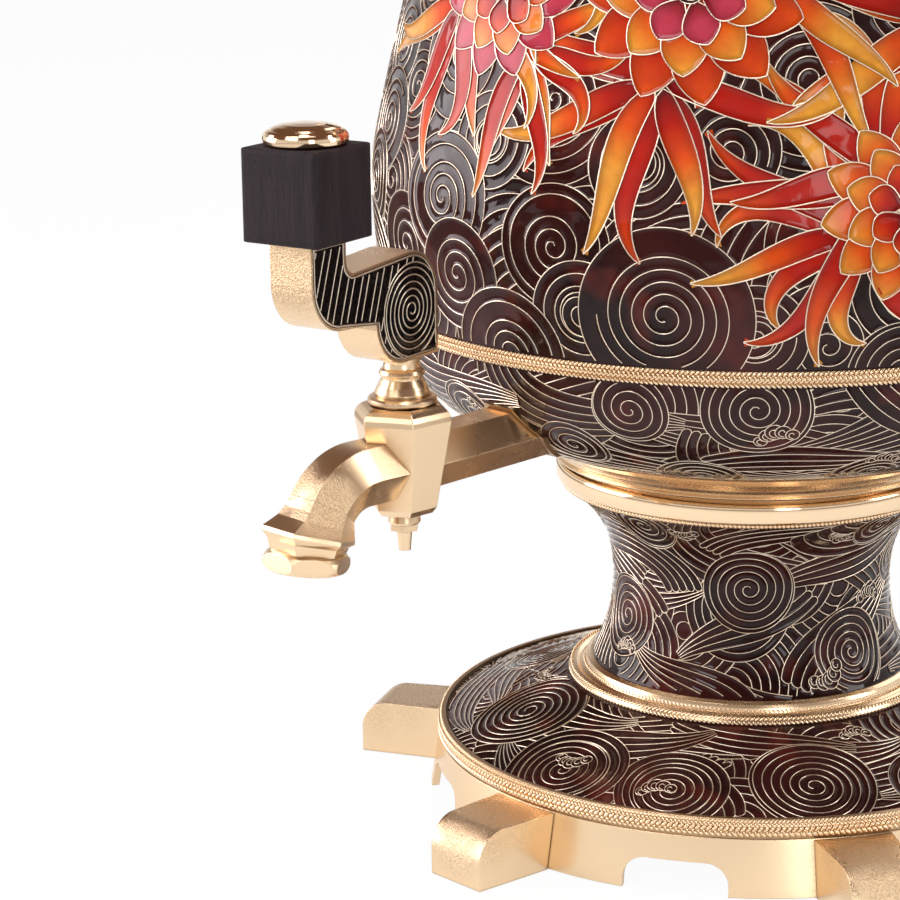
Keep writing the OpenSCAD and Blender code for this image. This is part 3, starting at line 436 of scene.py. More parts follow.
class Drawing:
    """Wires and coloured cells on a surface, from v = lo to hi. Later shapes hide what lies under them."""

    def __init__(self, surface, lo, hi):
        self.s, self.lo, self.hi = surface, lo, hi
        self.lines, self.shapes, self.cells = [], [], []
        self.order = 0

    def local(self, c, ab):
        """Points (a, b) in mm round the centre c = (angle, v)."""
        ab = np.asarray(ab, float)
        v = c[1] + ab[:, 1]
        return np.stack([c[0] + ab[:, 0] / self.s.radius(np.clip(v, 0, self.s.length)), v], -1)

    def back(self, c, p):
        """Where the surface's points p lie round the centre c, in mm."""
        a = p[:, 0] - c[0]
        if isinstance(self.s, Surface):
            a = (a + math.pi) % TAU - math.pi
        return np.stack([a * self.s.radius(np.clip(p[:, 1], 0, self.s.length)), p[:, 1] - c[1]], -1)

    def line(self, c, ab, left=CLEAR, right=CLEAR, h=0.0, wide=1.0):
        self.lines.append((self.order, self.local(c, ab), left, right, h, wide))

    def cover(self, c, radius=None, poly=None):
        """Everything drawn before this is hidden inside the disc or polygon."""
        self.order += 1
        reach = radius
        if poly is not None:
            poly = np.asarray(poly, float)
            reach = float(np.abs(poly).max()) * 1.5
        self.shapes.append((self.order, c, radius, poly, reach))

    def circle(self, c, r, step=0.9):
        a = np.linspace(0.0, TAU, max(int(r * TAU / step), 10))
        self.line(c, polar(r, a))

    def swirl(self, c, radius, pitch, ring=0.0, hand=1, start=None, step=0.9):
        """A disc with a spiral inside and circles round it out to the radius."""
        self.cover(c, radius=radius)
        start = rnd.uniform(0, TAU) if start is None else start
        r1 = radius - ring
        n = max(int(math.pi * r1 * r1 / pitch / step), 24)
        r = np.sqrt(np.linspace(0.004, 1, n)) * r1
        self.line(c, polar(r, start + hand * TAU * r / pitch))
        k = 0
        while ring > 0 and r1 + (k + 1) * pitch * 1.15 < radius - pitch * 0.5:
            k += 1
            self.circle(c, r1 + k * pitch * 1.15, step)
        self.circle(c, radius, step)

    def fan(self, c, radius, pitch, inner=0.0):
        """A disc of plain circles."""
        self.cover(c, radius=radius)
        r = radius
        while r > max(inner, 2.5):
            self.circle(c, r, 1.0)
            r -= pitch

    def cloud(self, c, size, lean, hand):
        """A small curl cloud: five lobes in a bent row, each over the last."""
        ca, sa = math.cos(lean), math.sin(lean)
        for k in range(5):
            t = k / 4 - 0.5
            x, y = t * size * 2.1, math.cos(t * 3.1) * size * 0.55 * hand
            r = size * (0.62 - 0.35 * abs(t))
            q = tuple(self.local(c, [(x * ca - y * sa, x * sa + y * ca)])[0])
            self.cover(q, radius=r)
            self.circle(q, r, 0.5)
            a = np.linspace(0, 4.6, 12)
            self.line(q, polar(r * (0.15 + 0.6 * a / 4.6), hand * a + lean))

    def ribbon(self, c, length, width, turn, bend, twist, pitch):
        """A bundle of lines that spread from a point and end in a row of foam scallops."""
        t, angle, mid, nrm = path(length, max(int(length / 1.1), 12), turn, bend, twist)
        w = width * (0.20 + 0.80 * np.sin(0.5 * math.pi * np.clip(1.25 * t, 0, 1)) - 0.22 * t * t)
        k = max(int(2 * width / pitch), 3)
        f = np.linspace(1, -1, k)
        ends = mid[-1] + nrm[-1] * (w[-1] * f)[:, None]
        r = w[-1] / (k - 1)
        a = np.linspace(0.5 * math.pi, -0.5 * math.pi, 9)
        onward = np.array([math.cos(angle[-1]), math.sin(angle[-1])])
        bow = nrm[-1] * (r * np.sin(a))[:, None] + onward * (r * np.cos(a))[:, None]
        scallops = [0.5 * (ends[i] + ends[i + 1]) + bow for i in range(k - 1)]
        left, right = mid + nrm * w[:, None], mid - nrm * w[:, None]
        self.cover(c, poly=np.concatenate([left, *scallops, right[::-1]]))
        for v in f:
            self.line(c, mid + nrm * (w * v)[:, None])
        for v in scallops:
            self.line(c, v)

    def leaf(self, c, length, width, turn, bend, cols, h, fat, twist=0.0, veins=0):
        """A coloured tongue or petal from c, at height h, coloured from root to tip. A smaller fat puts its
        widest place nearer to the root."""
        n, across = 26, 7
        t, _, mid, nrm = path(length, n, turn, bend, twist)
        w = width * np.power(np.clip(np.sin(math.pi * np.power(t, fat)), 0, 1), 0.75) + 0.06
        flank = nrm * w[:, None]
        left, right = mid + flank, mid - flank
        self.cover(c, poly=np.concatenate([left, right[::-1]]))
        cols = np.asarray(cols, float)
        k = np.linspace(0, 1, len(cols))
        rgb = np.stack([np.interp(t, k, cols[:, i]) for i in range(3)], -1)
        s = np.linspace(-1, 1, across)
        net = mid[:, None, :] + s[None, :, None] * flank[:, None, :]
        dark = 1 - 0.45 * np.abs(s) ** 2
        colour = np.concatenate([rgb[:, None, :] * dark[None, :, None], np.ones((n, across, 1))], -1)
        net = self.local(c, net.reshape(-1, 2))
        self.cells.append((self.order, net, colour.reshape(-1, 4), n, across, h))
        edge = np.concatenate([rgb * 0.55, np.ones((n, 1))], -1)
        self.line(c, left, right=edge, h=h, wide=1.25)
        self.line(c, right, left=edge, h=h, wide=1.25)
        for k in range(veins):
            f = (k + 1) / (veins + 1) * 2 - 1
            e = slice(2, int(n * 0.82))
            tint = edge[e] * np.array([1.15, 1.15, 1.15, 1])
            self.line(c, (mid + flank * f * 0.9)[e], left=tint, right=tint, h=h, wide=0.8)

    def flower(self, c, size, palette):
        """A blossom of three rings of petals, each ring over the last, round a small spiral."""
        turn = rnd.uniform(0, 1)
        for k, (f, count) in enumerate(PETAL_RINGS):
            for i in range(count):
                a = turn + k * 0.3 + i * TAU / count
                root = self.local(c, [(0.10 * size * math.cos(a), 0.10 * size * math.sin(a))])[0]
                self.leaf(tuple(root), size * f * 0.93, size * f * (2.1 / count) * 1.25, a, 0.10,
                          palette[k % len(palette)], 0.10 + k * 0.03 + i * 0.004, fat=1.25)
        self.cover(c, radius=size * 0.13)
        self.swirl(c, size * 0.13, 1.1, step=0.4)

    def visible(self, order, pts):
        """Which points lie on the drawing and under no later shape."""
        ok = (pts[:, 1] > self.lo) & (pts[:, 1] < self.hi)
        for k, c, radius, poly, reach in self.shapes:
            i = np.nonzero(ok & (order < k) & (np.abs(pts[:, 1] - c[1]) < reach))[0]
            q = self.back(c, pts[i])
            near = np.hypot(q[:, 0], q[:, 1]) < reach
            i, q = i[near], q[near]
            hide = np.hypot(q[:, 0], q[:, 1]) < radius - EDGE if poly is None else inside(poly, q)
            ok[i[hide]] = False
        return ok

    def all_visible(self, items):
        """The same for all lines or cells at once, whose first two values are the order and the points."""
        return self.visible(np.concatenate([np.full(len(i[1]), i[0]) for i in items]),
                            np.concatenate([i[1] for i in items]))

    def clipped(self):
        """The wires as runs that no later shape hides, each drawn right up to the shape that ends it."""
        ok = self.all_visible(self.lines)
        start, runs = 0, []
        for line in self.lines:
            good = ok[start:start + len(line[1])]
            start += len(line[1])
            runs += [(line, a, b) for a, b in runs_of(good) if b - a >= 2]
        order = np.array([line[0] for line, a, b in runs])
        heads = [(line[1][a], line[1][max(a - 1, 0)]) for line, a, b in runs]
        tails = [(line[1][b - 1], line[1][min(b, len(line[1]) - 1)]) for line, a, b in runs]
        ends = []
        for pairs in (heads, tails):
            near, far = (np.array(points) for points in zip(*pairs))
            for _ in range(HALVINGS):
                mid = 0.5 * (near + far)
                seen = self.visible(order, mid)[:, None]
                near, far = np.where(seen, mid, near), np.where(seen, far, mid)
            ends.append(far)
        for ((_, p, left, right, h, wide), a, b), head, tail in zip(runs, *ends):
            before, after = int(a > 0), int(b < len(p))
            q = np.concatenate([[head]] * before + [p[a:b]] + [[tail]] * after)
            pick = np.clip(np.arange(a - before, b + after), a, b - 1)
            left, right = (c if isinstance(c, tuple) else c[pick] for c in (left, right))
            yield q, left, right, h, wide

    def wires(self, half, proud, ramp):
        """For each run of wire its middle angle, points, quads, material numbers and colours."""
        flank = [(half * 0.6, proud), (half, proud - 0.09), (half + 0.12, proud - 0.155),
                 (0.55 * ramp + 0.1, 0.05), (ramp, 0.012)]
        section = np.array([(-x, z) for x, z in flank[::-1]] + flank)
        metal = np.array([0, 0, 0, 1, 1, 1, 0, 0, 0])
        # a cell's colour is darkest right beside its wire
        glow = np.array([1.45, 1.22, 1, 1, 1, 1, 1, 1, 1.22, 1.45])[None, :, None]
        m = len(section)
        for p, left, right, h, wide in self.clipped():
            points, normal = self.s.at(p[:, 0], p[:, 1], h)
            along = np.gradient(points, axis=0)
            along /= np.linalg.norm(along, axis=1)[:, None] + 1e-9
            across = np.cross(normal, along)
            s = np.where(np.abs(section[:, :1]) <= half + 0.13, section * np.array([wide, 1.0]), section)
            if h > 0:
                # beside a coloured cell the wire stands straight up from what lies under it
                for outer, colour, sign in ((slice(0, 3), right, -1), (slice(-3, None), left, 1)):
                    if isinstance(colour, tuple):
                        s[outer, 0] = sign * (half * wide + 0.02)
            v = points[:, None, :] + across[:, None, :] * s[None, :, :1] + normal[:, None, :] * s[None, :, 1:]
            n = len(points)
            c = np.zeros((n, m, 4), np.float32)
            c[:, :m // 2] = np.asarray(right, float).reshape(-1, 1, 4)
            c[:, m // 2:] = np.asarray(left, float).reshape(-1, 1, 4)
            c[..., :3] *= glow
            yield p[:, 0].mean() % TAU, v.reshape(-1, 3), grid(n, m), np.tile(metal, n - 1), c.reshape(-1, 4)

    def painted_cells(self):
        """The same for each coloured cell."""
        shown = self.all_visible(self.cells) if self.cells else []
        start = 0
        for _, p, colour, n, k, h in self.cells:
            seen = shown[start:start + len(p)]
            start += len(p)
            # a hidden corner sinks, so that the shape over it lies on top whatever its height
            points, _ = self.s.at(p[:, 0], p[:, 1], np.where(seen, h, SUNK))
            q = np.roll(grid(n, k), -1, axis=1)
            q = q[seen[q].any(1)]
            yield p[:, 0].mean() % TAU, points, q, np.zeros(len(q), int), colour

    def make(self, name, body, enamel_mat, half, proud=0.32, ramp=1.1):
        """The raised wires with the enamel that climbs to them, and the coloured cells. half is half the
        wire's width, proud its height, and ramp how far from its middle the enamel starts to climb."""
        items = [*self.wires(half, proud, ramp), *self.painted_cells()]
        items.sort(key=lambda item: item[0])
        upto = np.cumsum([len(item[2]) for item in items])
        parts = int(upto[-1] // PIECE_QUADS) + 1
        for k in range(parts):
            part = [item for item, u in zip(items, upto) if (u - 1) * parts // upto[-1] == k]
            base = np.cumsum([0] + [len(item[1]) for item in part])
            _, points, quads, index, colours = zip(*part)
            o = build(name if parts == 1 else "%s_%d" % (name, k + 1), np.concatenate(points),
                      np.concatenate([q + b for q, b in zip(quads, base)]), [PAINTED[enamel_mat.name], WIRE],
                      np.concatenate(index), np.concatenate(colours))
            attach(o, body)


# -------- the turned enamel pieces, as in part.scad
WALL = 1.7
# upper body: heights of its lower edge, widest place and upper edge, and its largest radius; how far it draws
# in below and over which height; and above, its taper and the height over which the taper sets in
BODY_Z, BODY_R = (160.4, 198, 316), 118.2
BODY_DRAW, BODY_DRAW_Z, TAPER, TAPER_EASE = 4.2, 37.6, 0.25, 12
# bowl: heights of its lower and upper edge; then, as for an ellipse, its middle and its two half axes
BOWL_Z = (120.3, 155.6)
BOWL_MIDDLE, BOWL_AXES = (60, 157), (52, 39)
# neck: heights of its foot and its mouth; radius and height of the waist
NECK_Z, WAIST = (43.1, 101.6), (43.6, 70)


def cubic(a, b, c, d, n):
    """n points of the cubic Bezier curve with these four control points."""
    t = np.linspace(0, 1, n)[:, None]
    a, b, c, d = (np.array(p, float) for p in (a, b, c, d))
    return a * (1 - t) ** 3 + 3 * b * t * (1 - t) ** 2 + 3 * c * t * t * (1 - t) + d * t ** 3


def arc(x, z, r, a0, a1, n, rz=None):
    """n points round (x, z) from a0 to a1 degrees, on a circle or, with rz, on an ellipse."""
    a = np.radians(np.linspace(a0, a1, n))
    return np.stack([x + r * np.cos(a), z + (r if rz is None else rz) * np.sin(a)], -1)


def body_points(d):
    """The upper body's profile, d mm inside its outer face."""
    z = np.linspace(BODY_Z[0], BODY_Z[2], 120)
    widest = BODY_Z[1]
    low = BODY_R - BODY_DRAW * ((widest - z) / BODY_DRAW_Z) ** 2
    high = BODY_R - TAPER * (np.sqrt((z - widest) ** 2 + TAPER_EASE ** 2) - TAPER_EASE)
    return np.stack([np.where(z < widest, low, high) - d, z], -1)


def bowl_points():
    z = np.linspace(*BOWL_Z, 60)
    reach = np.sqrt(np.clip(1 - ((BOWL_MIDDLE[1] - z) / BOWL_AXES[1]) ** 2, 0, 1))
    return np.stack([BOWL_MIDDLE[0] + BOWL_AXES[0] * reach, z], -1)


def neck_points(d):
    foot = cubic((50.3, NECK_Z[0]), (46.9, 50.1), (43.6, 56), WAIST, 30)
    bell = cubic(WAIST, (43.6, 84), (48.2, 93.0), (60.7, NECK_Z[1]), 40)
    return np.concatenate([foot, bell[1:]]) - np.array([d, 0])


def shell(name, node, outer, inner):
    turned(name, node, np.concatenate([outer, inner[::-1]]), ENAMEL)


NECK_LEDGE = [(42, NECK_Z[0]), (42, 47.1), (46.2, 47.2)]
shell("upper_body_enamel", "upper_body", body_points(0), body_points(WALL))
shell("neck_enamel", "neck", neck_points(0), np.concatenate([NECK_LEDGE, neck_points(WALL)[8:]]))
S_body, S_bowl, S_neck = Surface(body_points(0)), Surface(bowl_points()), Surface(neck_points(0))
S_disc = Surface([(97.7, 22.3), (58.1, 37.2)])
S_shoulder = Surface(arc(58, 321, 32.2, 0, 86, 40, rz=17))
S_lid = Surface([(57.2, 341.6), (55.6, 343.4), (50, 346.6), (42, 349.2), (36, 350.2), (32.9, 350.4)])
S_cap = Surface(arc(5, 362.9, 23.6, 0, 80, 24, rz=12))


# -------- the drawings
TRIES = 2500


def apart(d, v0, v1, sizes, gap, seed):
    """Places (angle, v, size) for shapes that may lap over each other, but whose middles keep at least gap
    times the sum of their sizes apart, and the random generator that made them."""
    r = random.Random(seed)
    out = []
    for _ in range(TRIES):
        th, v = r.uniform(0, TAU), r.uniform(v0, v1)
        size = r.choice(sizes) * r.uniform(0.9, 1.1)
        rad = float(d.s.radius(np.clip(v, 0, d.s.length)))
        if all(math.hypot(((th - a + math.pi) % TAU - math.pi) * rad, v - b) > gap * (size + c)
               for a, b, c in out):
            out.append((th, v, size))
    return out, r


def swirl_field(d, v0, v1, pitch):
    """Big discs of rings behind, then spirals of many sizes that lap over each other."""
    spots, r = apart(d, v0, v1, sizes=(30, 34, 38), gap=0.36, seed=41)
    for th, v, size in sorted(spots, key=lambda q: -q[1] + 9 * math.sin(q[0] * 7)):
        d.fan((th, v), size, pitch * r.uniform(1.05, 1.3))
    spots, r = apart(d, v0, v1, sizes=(15, 17, 20, 23, 26), gap=0.60, seed=43)
    for th, v, size in sorted(spots, key=lambda q: -q[1] + 17 * math.sin(q[0] * 11)):
        kind = r.random()
        if kind < 0.22:
            d.fan((th, v), size, pitch * 1.1, size * 0.42)
            d.swirl((th, v), size * 0.42, pitch * 0.85, 0, r.choice((-1, 1)))
        else:
            ring = size * (0, 0.22, 0.4)[min(int((kind - 0.22) * 3.85), 2)]
            d.swirl((th, v), size, pitch * r.uniform(0.92, 1.12), ring, r.choice((-1, 1)))


def wave_field(d, v0, v1, seed, fan, flow, spiral, foam, pitch):
    """Sea pattern: nested arcs behind, flowing bundles over them, then spirals and curls of foam."""
    spots, r = apart(d, v0 - 6, v1 + 6, sizes=fan, gap=0.45, seed=seed)
    for th, v, size in spots:
        d.fan((th, v), size, pitch * r.uniform(1.0, 1.25))
    spots, r = apart(d, v0, v1, sizes=flow, gap=0.42, seed=seed + 1)
    for th, v, size in spots:
        bend = r.uniform(1.1, 2.0) * r.choice((-1, 1))
        length = size * r.uniform(2.4, 3.2)
        turn = r.uniform(-0.5, 0.5) - bend * 0.25 + r.choice((0, math.pi))
        d.ribbon((th, v), length, size * 0.40, turn, bend, -bend * r.uniform(0.8, 1.9), pitch)
    spots, r = apart(d, v0 + 3, v1 - 3, sizes=spiral, gap=1.3, seed=seed + 2)
    for th, v, size in spots:
        if r.random() < 0.35:
            d.fan((th, v), size * 1.4, pitch, size)
        d.swirl((th, v), size, pitch * 0.98, 0, r.choice((-1, 1)))
    spots, r = apart(d, v0 + 2, v1 - 2, sizes=(foam * 3.4,), gap=1.1, seed=seed + 3)
    for th, v, size in spots:
        if r.random() < 0.75:
            d.cloud((th, v), foam * r.uniform(0.8, 1.15), r.uniform(-0.7, 0.7), r.choice((-1, 1)))


RED, DEEP, ORANGE = (0.45, 0.014, 0.006), (0.13, 0.004, 0.005), (0.74, 0.085, 0.008)
AMBER, PINK = (0.80, 0.34, 0.04), (0.50, 0.045, 0.08)
ROSE = [[DEEP, RED, ORANGE], [RED, ORANGE, AMBER], [DEEP, PINK, PINK]]
SUN = [[DEEP, RED, ORANGE, AMBER], [RED, ORANGE, AMBER], [DEEP, RED, ORANGE]]
FLAME = ([DEEP, RED, ORANGE, AMBER, AMBER], [DEEP, RED, RED, ORANGE, AMBER],
         [RED, ORANGE, AMBER, AMBER, AMBER], [DEEP, RED, RED, ORANGE])


def on_body(degrees, z):
    """A place on the upper body by its angle and its height."""
    return math.radians(degrees), float(np.interp(z, S_body.z, S_body.v))


def spray(d, place, n, spread, size, aim, seed):
    """n flame leaves from one root, spread round the direction aim."""
    r = random.Random(seed)
    for i in range(n):
        a = aim + (i / (n - 1) - 0.5) * spread
        root = tuple(d.local(place, [(3 * math.cos(a), 3 * math.sin(a))])[0])
        bend = r.uniform(1.3, 2.3) * (1 if i % 2 else -1)
        d.leaf(root, size * r.uniform(0.85, 1.25), size * 0.09, a - bend * 0.3, bend, r.choice(FLAME),
               0.04 + 0.012 * i, fat=0.62, twist=-bend * r.uniform(0.8, 2.0))


# angle and height of the root, number of leaves, spread, size, aim, seed
SPRAYS = ((-34, 200, 9, 3.0, 40, math.pi + 0.15, 3),
          (-30, 214, 7, 2.6, 46, math.pi - 0.5, 5),
          (-62, 240, 9, 3.0, 44, -2.1, 8),
          (-84, 246, 7, 2.4, 36, -0.9, 10),
          (-100, 258, 9, 3.2, 42, -1.3, 12),
          (-20, 255, 9, 3.4, 50, 2.6, 20),
          (-46, 268, 9, 5.2, 44, 1.4, 23),
          (-78, 288, 9, 5.6, 38, 1.4, 25))
# angle and height of the middle, size, colours of the rings
BLOSSOMS = ((-27, 205, 25, SUN),
            (-58, 264, 31, ROSE),
            (-90, 262, 25, ROSE[::-1]),
            (-8, 284, 22, ROSE),
            (-112, 296, 16, SUN))

# upper body: spirals, and over them the same group of flame leaves and blossoms three times
d = Drawing(S_body, 1.0, S_body.length - 1.0)
swirl_field(d, -2, S_body.length + 4, 3.3)
for k in range(3):
    for angle, z, n, spread, size, aim, seed in SPRAYS:
        spray(d, on_body(angle + 120 * k, z), n, spread, size, aim, seed + k)
    for angle, z, size, palette in BLOSSOMS:
        d.flower(on_body(angle + 120 * k, z), size, palette)
d.make("upper_body_wires", "samovar", ENAMEL, half=0.13, ramp=1.4)

# bowl, neck and disc: waves, spirals and foam
d = Drawing(S_bowl, 1.2, S_bowl.length - 0.6)
wave_field(d, 2, S_bowl.length - 2, 60,
           fan=(24, 32), flow=(24, 30), spiral=(12, 15, 17), foam=4.6, pitch=2.9)
d.make("bowl_wires", "samovar", ENAMEL, half=0.115, ramp=1.15)

d = Drawing(S_neck, 1.0, S_neck.length - 2.6)
wave_field(d, 2, S_neck.length - 3, 70,
           fan=(18, 24), flow=(19, 24), spiral=(9, 12, 13), foam=4.0, pitch=2.6)
d.make("neck_wires", "samovar", ENAMEL, half=0.11, ramp=1.1)

d = Drawing(S_disc, 1.0, S_disc.length - 1.0)
wave_field(d, 2, S_disc.length - 2, 80,
           fan=(20, 28), flow=(20, 26), spiral=(12, 15, 18), foam=4.2, pitch=2.75)
d.make("disc_wires", "samovar", ENAMEL, half=0.115, ramp=1.15)


# shoulder, lid and chimney cap: two rings of petals
def petals(name, surface, body, n, root, length, width, aim, top=1.0):
    d = Drawing(surface, 0.8, surface.length - top)
    for ring, palette in enumerate(([DEEP, RED, ORANGE], [RED, ORANGE, AMBER])):
        for i in range(n):
            place = ((i + 0.5 * ring) * TAU / n, root)
            h = 0.04 + ring * 0.03 + (i % 2) * 0.012
            d.leaf(place, length * (1 - 0.18 * ring), width * (1 - 0.2 * ring), aim, 0.0, palette, h,
                   fat=1.3, veins=1)
    d.make(name, body, FLORAL, half=0.15)


petals("shoulder_wires", S_shoulder, "samovar", 22, S_shoulder.length - 3, 26, 7.6, -math.pi / 2, 2.5)
petals("lid_wires", S_lid, "lid", 20, 2.0, 21, 6.6, math.pi / 2)
petals("cap_wires", S_cap, "cap", 14, 1.6, 22, 4.6, math.pi / 2, 3.0)


# -------- braids and bead rows
def beads(name, rows, body="samovar"):
    """Rows of slanting beads round the axis. A row is its radius, height, normal's angle over the horizon,
    number of beads, their length, width, height and slant, and a shift in beads."""
    lon, lat = 8, 5
    ball = []
    for j in range(lat + 1):
        b = -math.pi / 2 + math.pi * j / lat
        for i in range(lon):
            a = i * TAU / lon
            ball.append((math.cos(b) * math.cos(a), math.cos(b) * math.sin(a), math.sin(b)))
    ball = np.array(ball)
    faces = np.array([(j * lon + i, j * lon + (i + 1) % lon, (j + 1) * lon + (i + 1) % lon, (j + 1) * lon + i)
                      for j in range(lat) for i in range(lon)])
    verts, quads, base = [], [], 0
    for r, z, rise, count, long, wide, high, slant, shift in rows:
        a = (np.arange(count) + shift) * TAU / count
        c, s, o = np.cos(a), np.sin(a), np.zeros(count)
        east = np.stack([-s, c, o], -1)
        out = np.stack([c * math.cos(rise), s * math.cos(rise), o + math.sin(rise)], -1)
        along = east * math.cos(slant) + np.cross(out, east) * math.sin(slant)
        across = np.cross(out, along)
        centre = np.stack([r * c, r * s, o + z], -1)
        v = (centre[:, None] + ball[None, :, :1] * along[:, None] * long / 2
             + ball[None, :, 1:2] * across[:, None] * wide / 2 + ball[None, :, 2:] * out[:, None] * high / 2)
        verts.append(v.reshape(-1, 3))
        quads.append((base + np.arange(count)[:, None, None] * len(ball) + faces[None]).reshape(-1, 4))
        base += count * len(ball)
    o = build(name, np.concatenate(verts), np.concatenate(quads), [BRAID])
    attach(o, body)


def braid(name, strands, body="samovar"):
    """Strands (radius, height, normal's angle, size), each of two rows that slant against each other."""
    rows = []
    for r, z, rise, size in strands:
        n = int(TAU * r / (size * 0.95))
        dz = size * 0.44
        dr, dz = dz * math.sin(rise), dz * math.cos(rise)
        bead = (size * 1.5, size * 0.66, size * 0.62)
        rows += [(r - dr, z + dz, rise, n, *bead, 0.72, 0.0), (r + dr, z - dz, rise, n, *bead, -0.72, 0.5)]
    beads(name, rows, body)


def bead_row(name, surface, v, size):
    """One row of small round beads on a turned surface."""
    r, z, nr, nz = (float(a) for a in surface.section(v))
    count = int(TAU * r / (size * 0.62))
    beads(name, [(r, z, math.atan2(nz, nr), count, size * 0.7, size, size * 0.8, 0.45, 0)])


braid("band_braid_stitch", [(113.1, 156.9, -0.1, 1.5), (114.5, 159.2, 0.2, 1.5)])
braid("top_band_stitch", [(92.4, 317.4, 0, 1.3), (92.2, 319.5, 0.3, 1.3)])
braid("rim_braid_stitch", [(100.0, 20.0, 0, 1.75), (99.7, 22.5, 0.5, 1.3)])
braid("neck_foot_stitch", [(57.4, 38.9, 0.3, 1.5), (52.3, 41.2, 0.75, 1.4)])
braid("crown_stitch", [(47.3, 380.2, 0, 1.2), (47.2, 381.9, 0.2, 1.1)], "crown")
bead_row("neck_top_beads", S_neck, S_neck.length - 1.2, 2.1)
bead_row("bowl_edge_beads", S_bowl, 0.6, 1.2)


def soft(points, keep):
    """Rounds the corners of a profile, but for the points whose numbers are kept."""
    out = []
    for i, p in enumerate(points):
        if i in keep:
            out.append(p)
            continue
        a, b, c = (np.array(q, float) for q in (points[i - 1], p, points[(i + 1) % len(points)]))
        u, w = b + (a - b) * 0.30, b + (c - b) * 0.30
        out += [tuple(u), tuple(0.25 * u + 0.5 * b + 0.25 * w), tuple(w)]
    return out


RING = [(50, 101.6), (60.9, 101.6), (61.4, 101.9), (61.7, 102.8), (61.9, 104.6), (61.9, 106.6), (61.6, 107.4),
        (61.0, 107.8), (50, 107.8)]
turned("polished_ring_turned", "polished_ring", soft(RING, (0, 1, 7, 8)), POLISHED, sharp=24)


# -------- lever and handle plates
FAR = 1e4


def lever_outline(g):
    """The lever's side, g mm inside its edge, as distance from the key's axis and height."""
    return np.concatenate([
        [(-8.3 + g, 163.4 + g)], arc(8, 176.7, 13.3 - g, -90, 0, 12), arc(36.5, 191.3, 13.7 - g, -90, 0, 12),
        [(50.2 - g, 202.6 - g), (34.6 + g, 202.6 - g)],
        arc(31, 196, 3.6 + g, 0, -87, 8), arc(4.4, 181.3, 12.7 - g, 87, 180, 12)])


def arm_outline(g):
    """The same for a handle's arm, as distance from the samovar's axis and height."""
    return np.concatenate([
        [(88, 258 + g)], arc(120, 269, 11 - g, -90, 0, 10), arc(138.5, 279, 10 - g, -90, 0, 10),
        [(148.5 - g, 286 - g), (128.5 + g, 286 - g)], arc(125.5, 283, 3 + g, 0, -90, 6), [(88, 280 - g)]])


def plate(plane, mirror, ribs, middle, radius, gap, pitch, hand, outline):
    """Slanting ribs and a spiral over them, cut at an outline. The drawing is mirrored where mirror is 1, so
    that the plane's normal points outwards on both sides."""
    def flip(points):
        return np.asarray(points) * np.array([-mirror, 1.0])

    d = Drawing(plane, -FAR, FAR)
    for x, z in ribs:
        d.lines.append((0, flip(np.stack([x, z], -1)), CLEAR, CLEAR, 0.0, 1.0))
    middle = tuple(flip(middle))
    d.cover(middle, radius=gap)
    d.swirl(middle, radius, pitch, hand=hand, start=1.0, step=0.6)
    edge, kept = flip(outline), []
    for order, p, *look in d.lines:
        kept += [(order, p[a:b], *look) for a, b in runs_of(inside(edge, p)) if b - a > 2]
    d.lines = kept
    return d, flip


def rib_lines(x0, step, jog, numbers, lean, z):
    """Lines up the heights z, every second one moved by jog."""
    return [(x0 + k * step + jog * (k % 2) + lean, z) for k in numbers]


# the stored turn of the key, its axis, and the lever's direction and sideways
KEY_TURN, KEY_AXIS = math.radians(13.7), np.array([0, -146.3, 0])
along = np.array([math.sin(KEY_TURN), -math.cos(KEY_TURN), 0])
side = np.array([math.cos(KEY_TURN), math.sin(KEY_TURN), 0])
UP = np.array([0, 0, 1.0])
# half the distance between the lever's and an arm's two plates; then an arm's distance from the handle's
# middle, and the place where it leaves the body
LEVER_PLATE, ARM_PLATE = 6.725, 4.975
ARM_MIDDLE, ARM_START = 31, 106.5
LEAN = 0.34

u = np.linspace(0, 60, 81)
lever_ribs = rib_lines(11, 3.4, 0.5, range(-2, 16), -LEAN * (u - 18), 160 + u)
for s in (1, -1):
    plane = Plane(KEY_AXIS + side * s * LEVER_PLATE, along * -s, UP)
    d, flip = plate(plane, s, lever_ribs, (4.3, 177.5), radius=13.3, gap=13.6, pitch=1.95, hand=s,
                    outline=lever_outline(1.6))
    rim = lever_outline(1.28)
    rim = np.concatenate([np.linspace(a, b, 12)[:-1] for a, b in zip(rim, np.roll(rim, -1, axis=0))])
    d.lines.append((d.order, flip(rim), CLEAR, CLEAR, 0.0, 1.3))
    d.make("lever_wires_" + ("right" if s > 0 else "left"), "key", BLACK, half=0.19, proud=0.24, ramp=0.55)

# the handles' arms carry the same ribs and spiral
u = np.linspace(-2, 36, 60)
arm_ribs = rib_lines(100, 2.6, 0.4, range(20), LEAN * u, 256 + u)
arm_edge = arm_outline(1.5)
arm_edge[:, 0] = np.maximum(arm_edge[:, 0], ARM_START)
for hand in (1, -1):
    for arm in (1, -1):
        for face in (1, -1):
            plane = Plane((0, (ARM_MIDDLE * arm + ARM_PLATE * face) * hand, 0), (-face * hand, 0, 0), UP)
            d, _ = plate(plane, face, arm_ribs, (116.5, 269), radius=8.7, gap=8.9, pitch=1.7,
                         hand=face * hand, outline=arm_edge)
            name = "handle_wires_%s_%d%d" % ("right" if hand > 0 else "left", (arm + 1) // 2, (face + 1) // 2)
            d.make(name, "samovar", BLACK, half=0.17, proud=0.2, ramp=0.5)


# -------- floor, light
DIM_STUDIO = (0.15, 0.08, 0.05, 1)


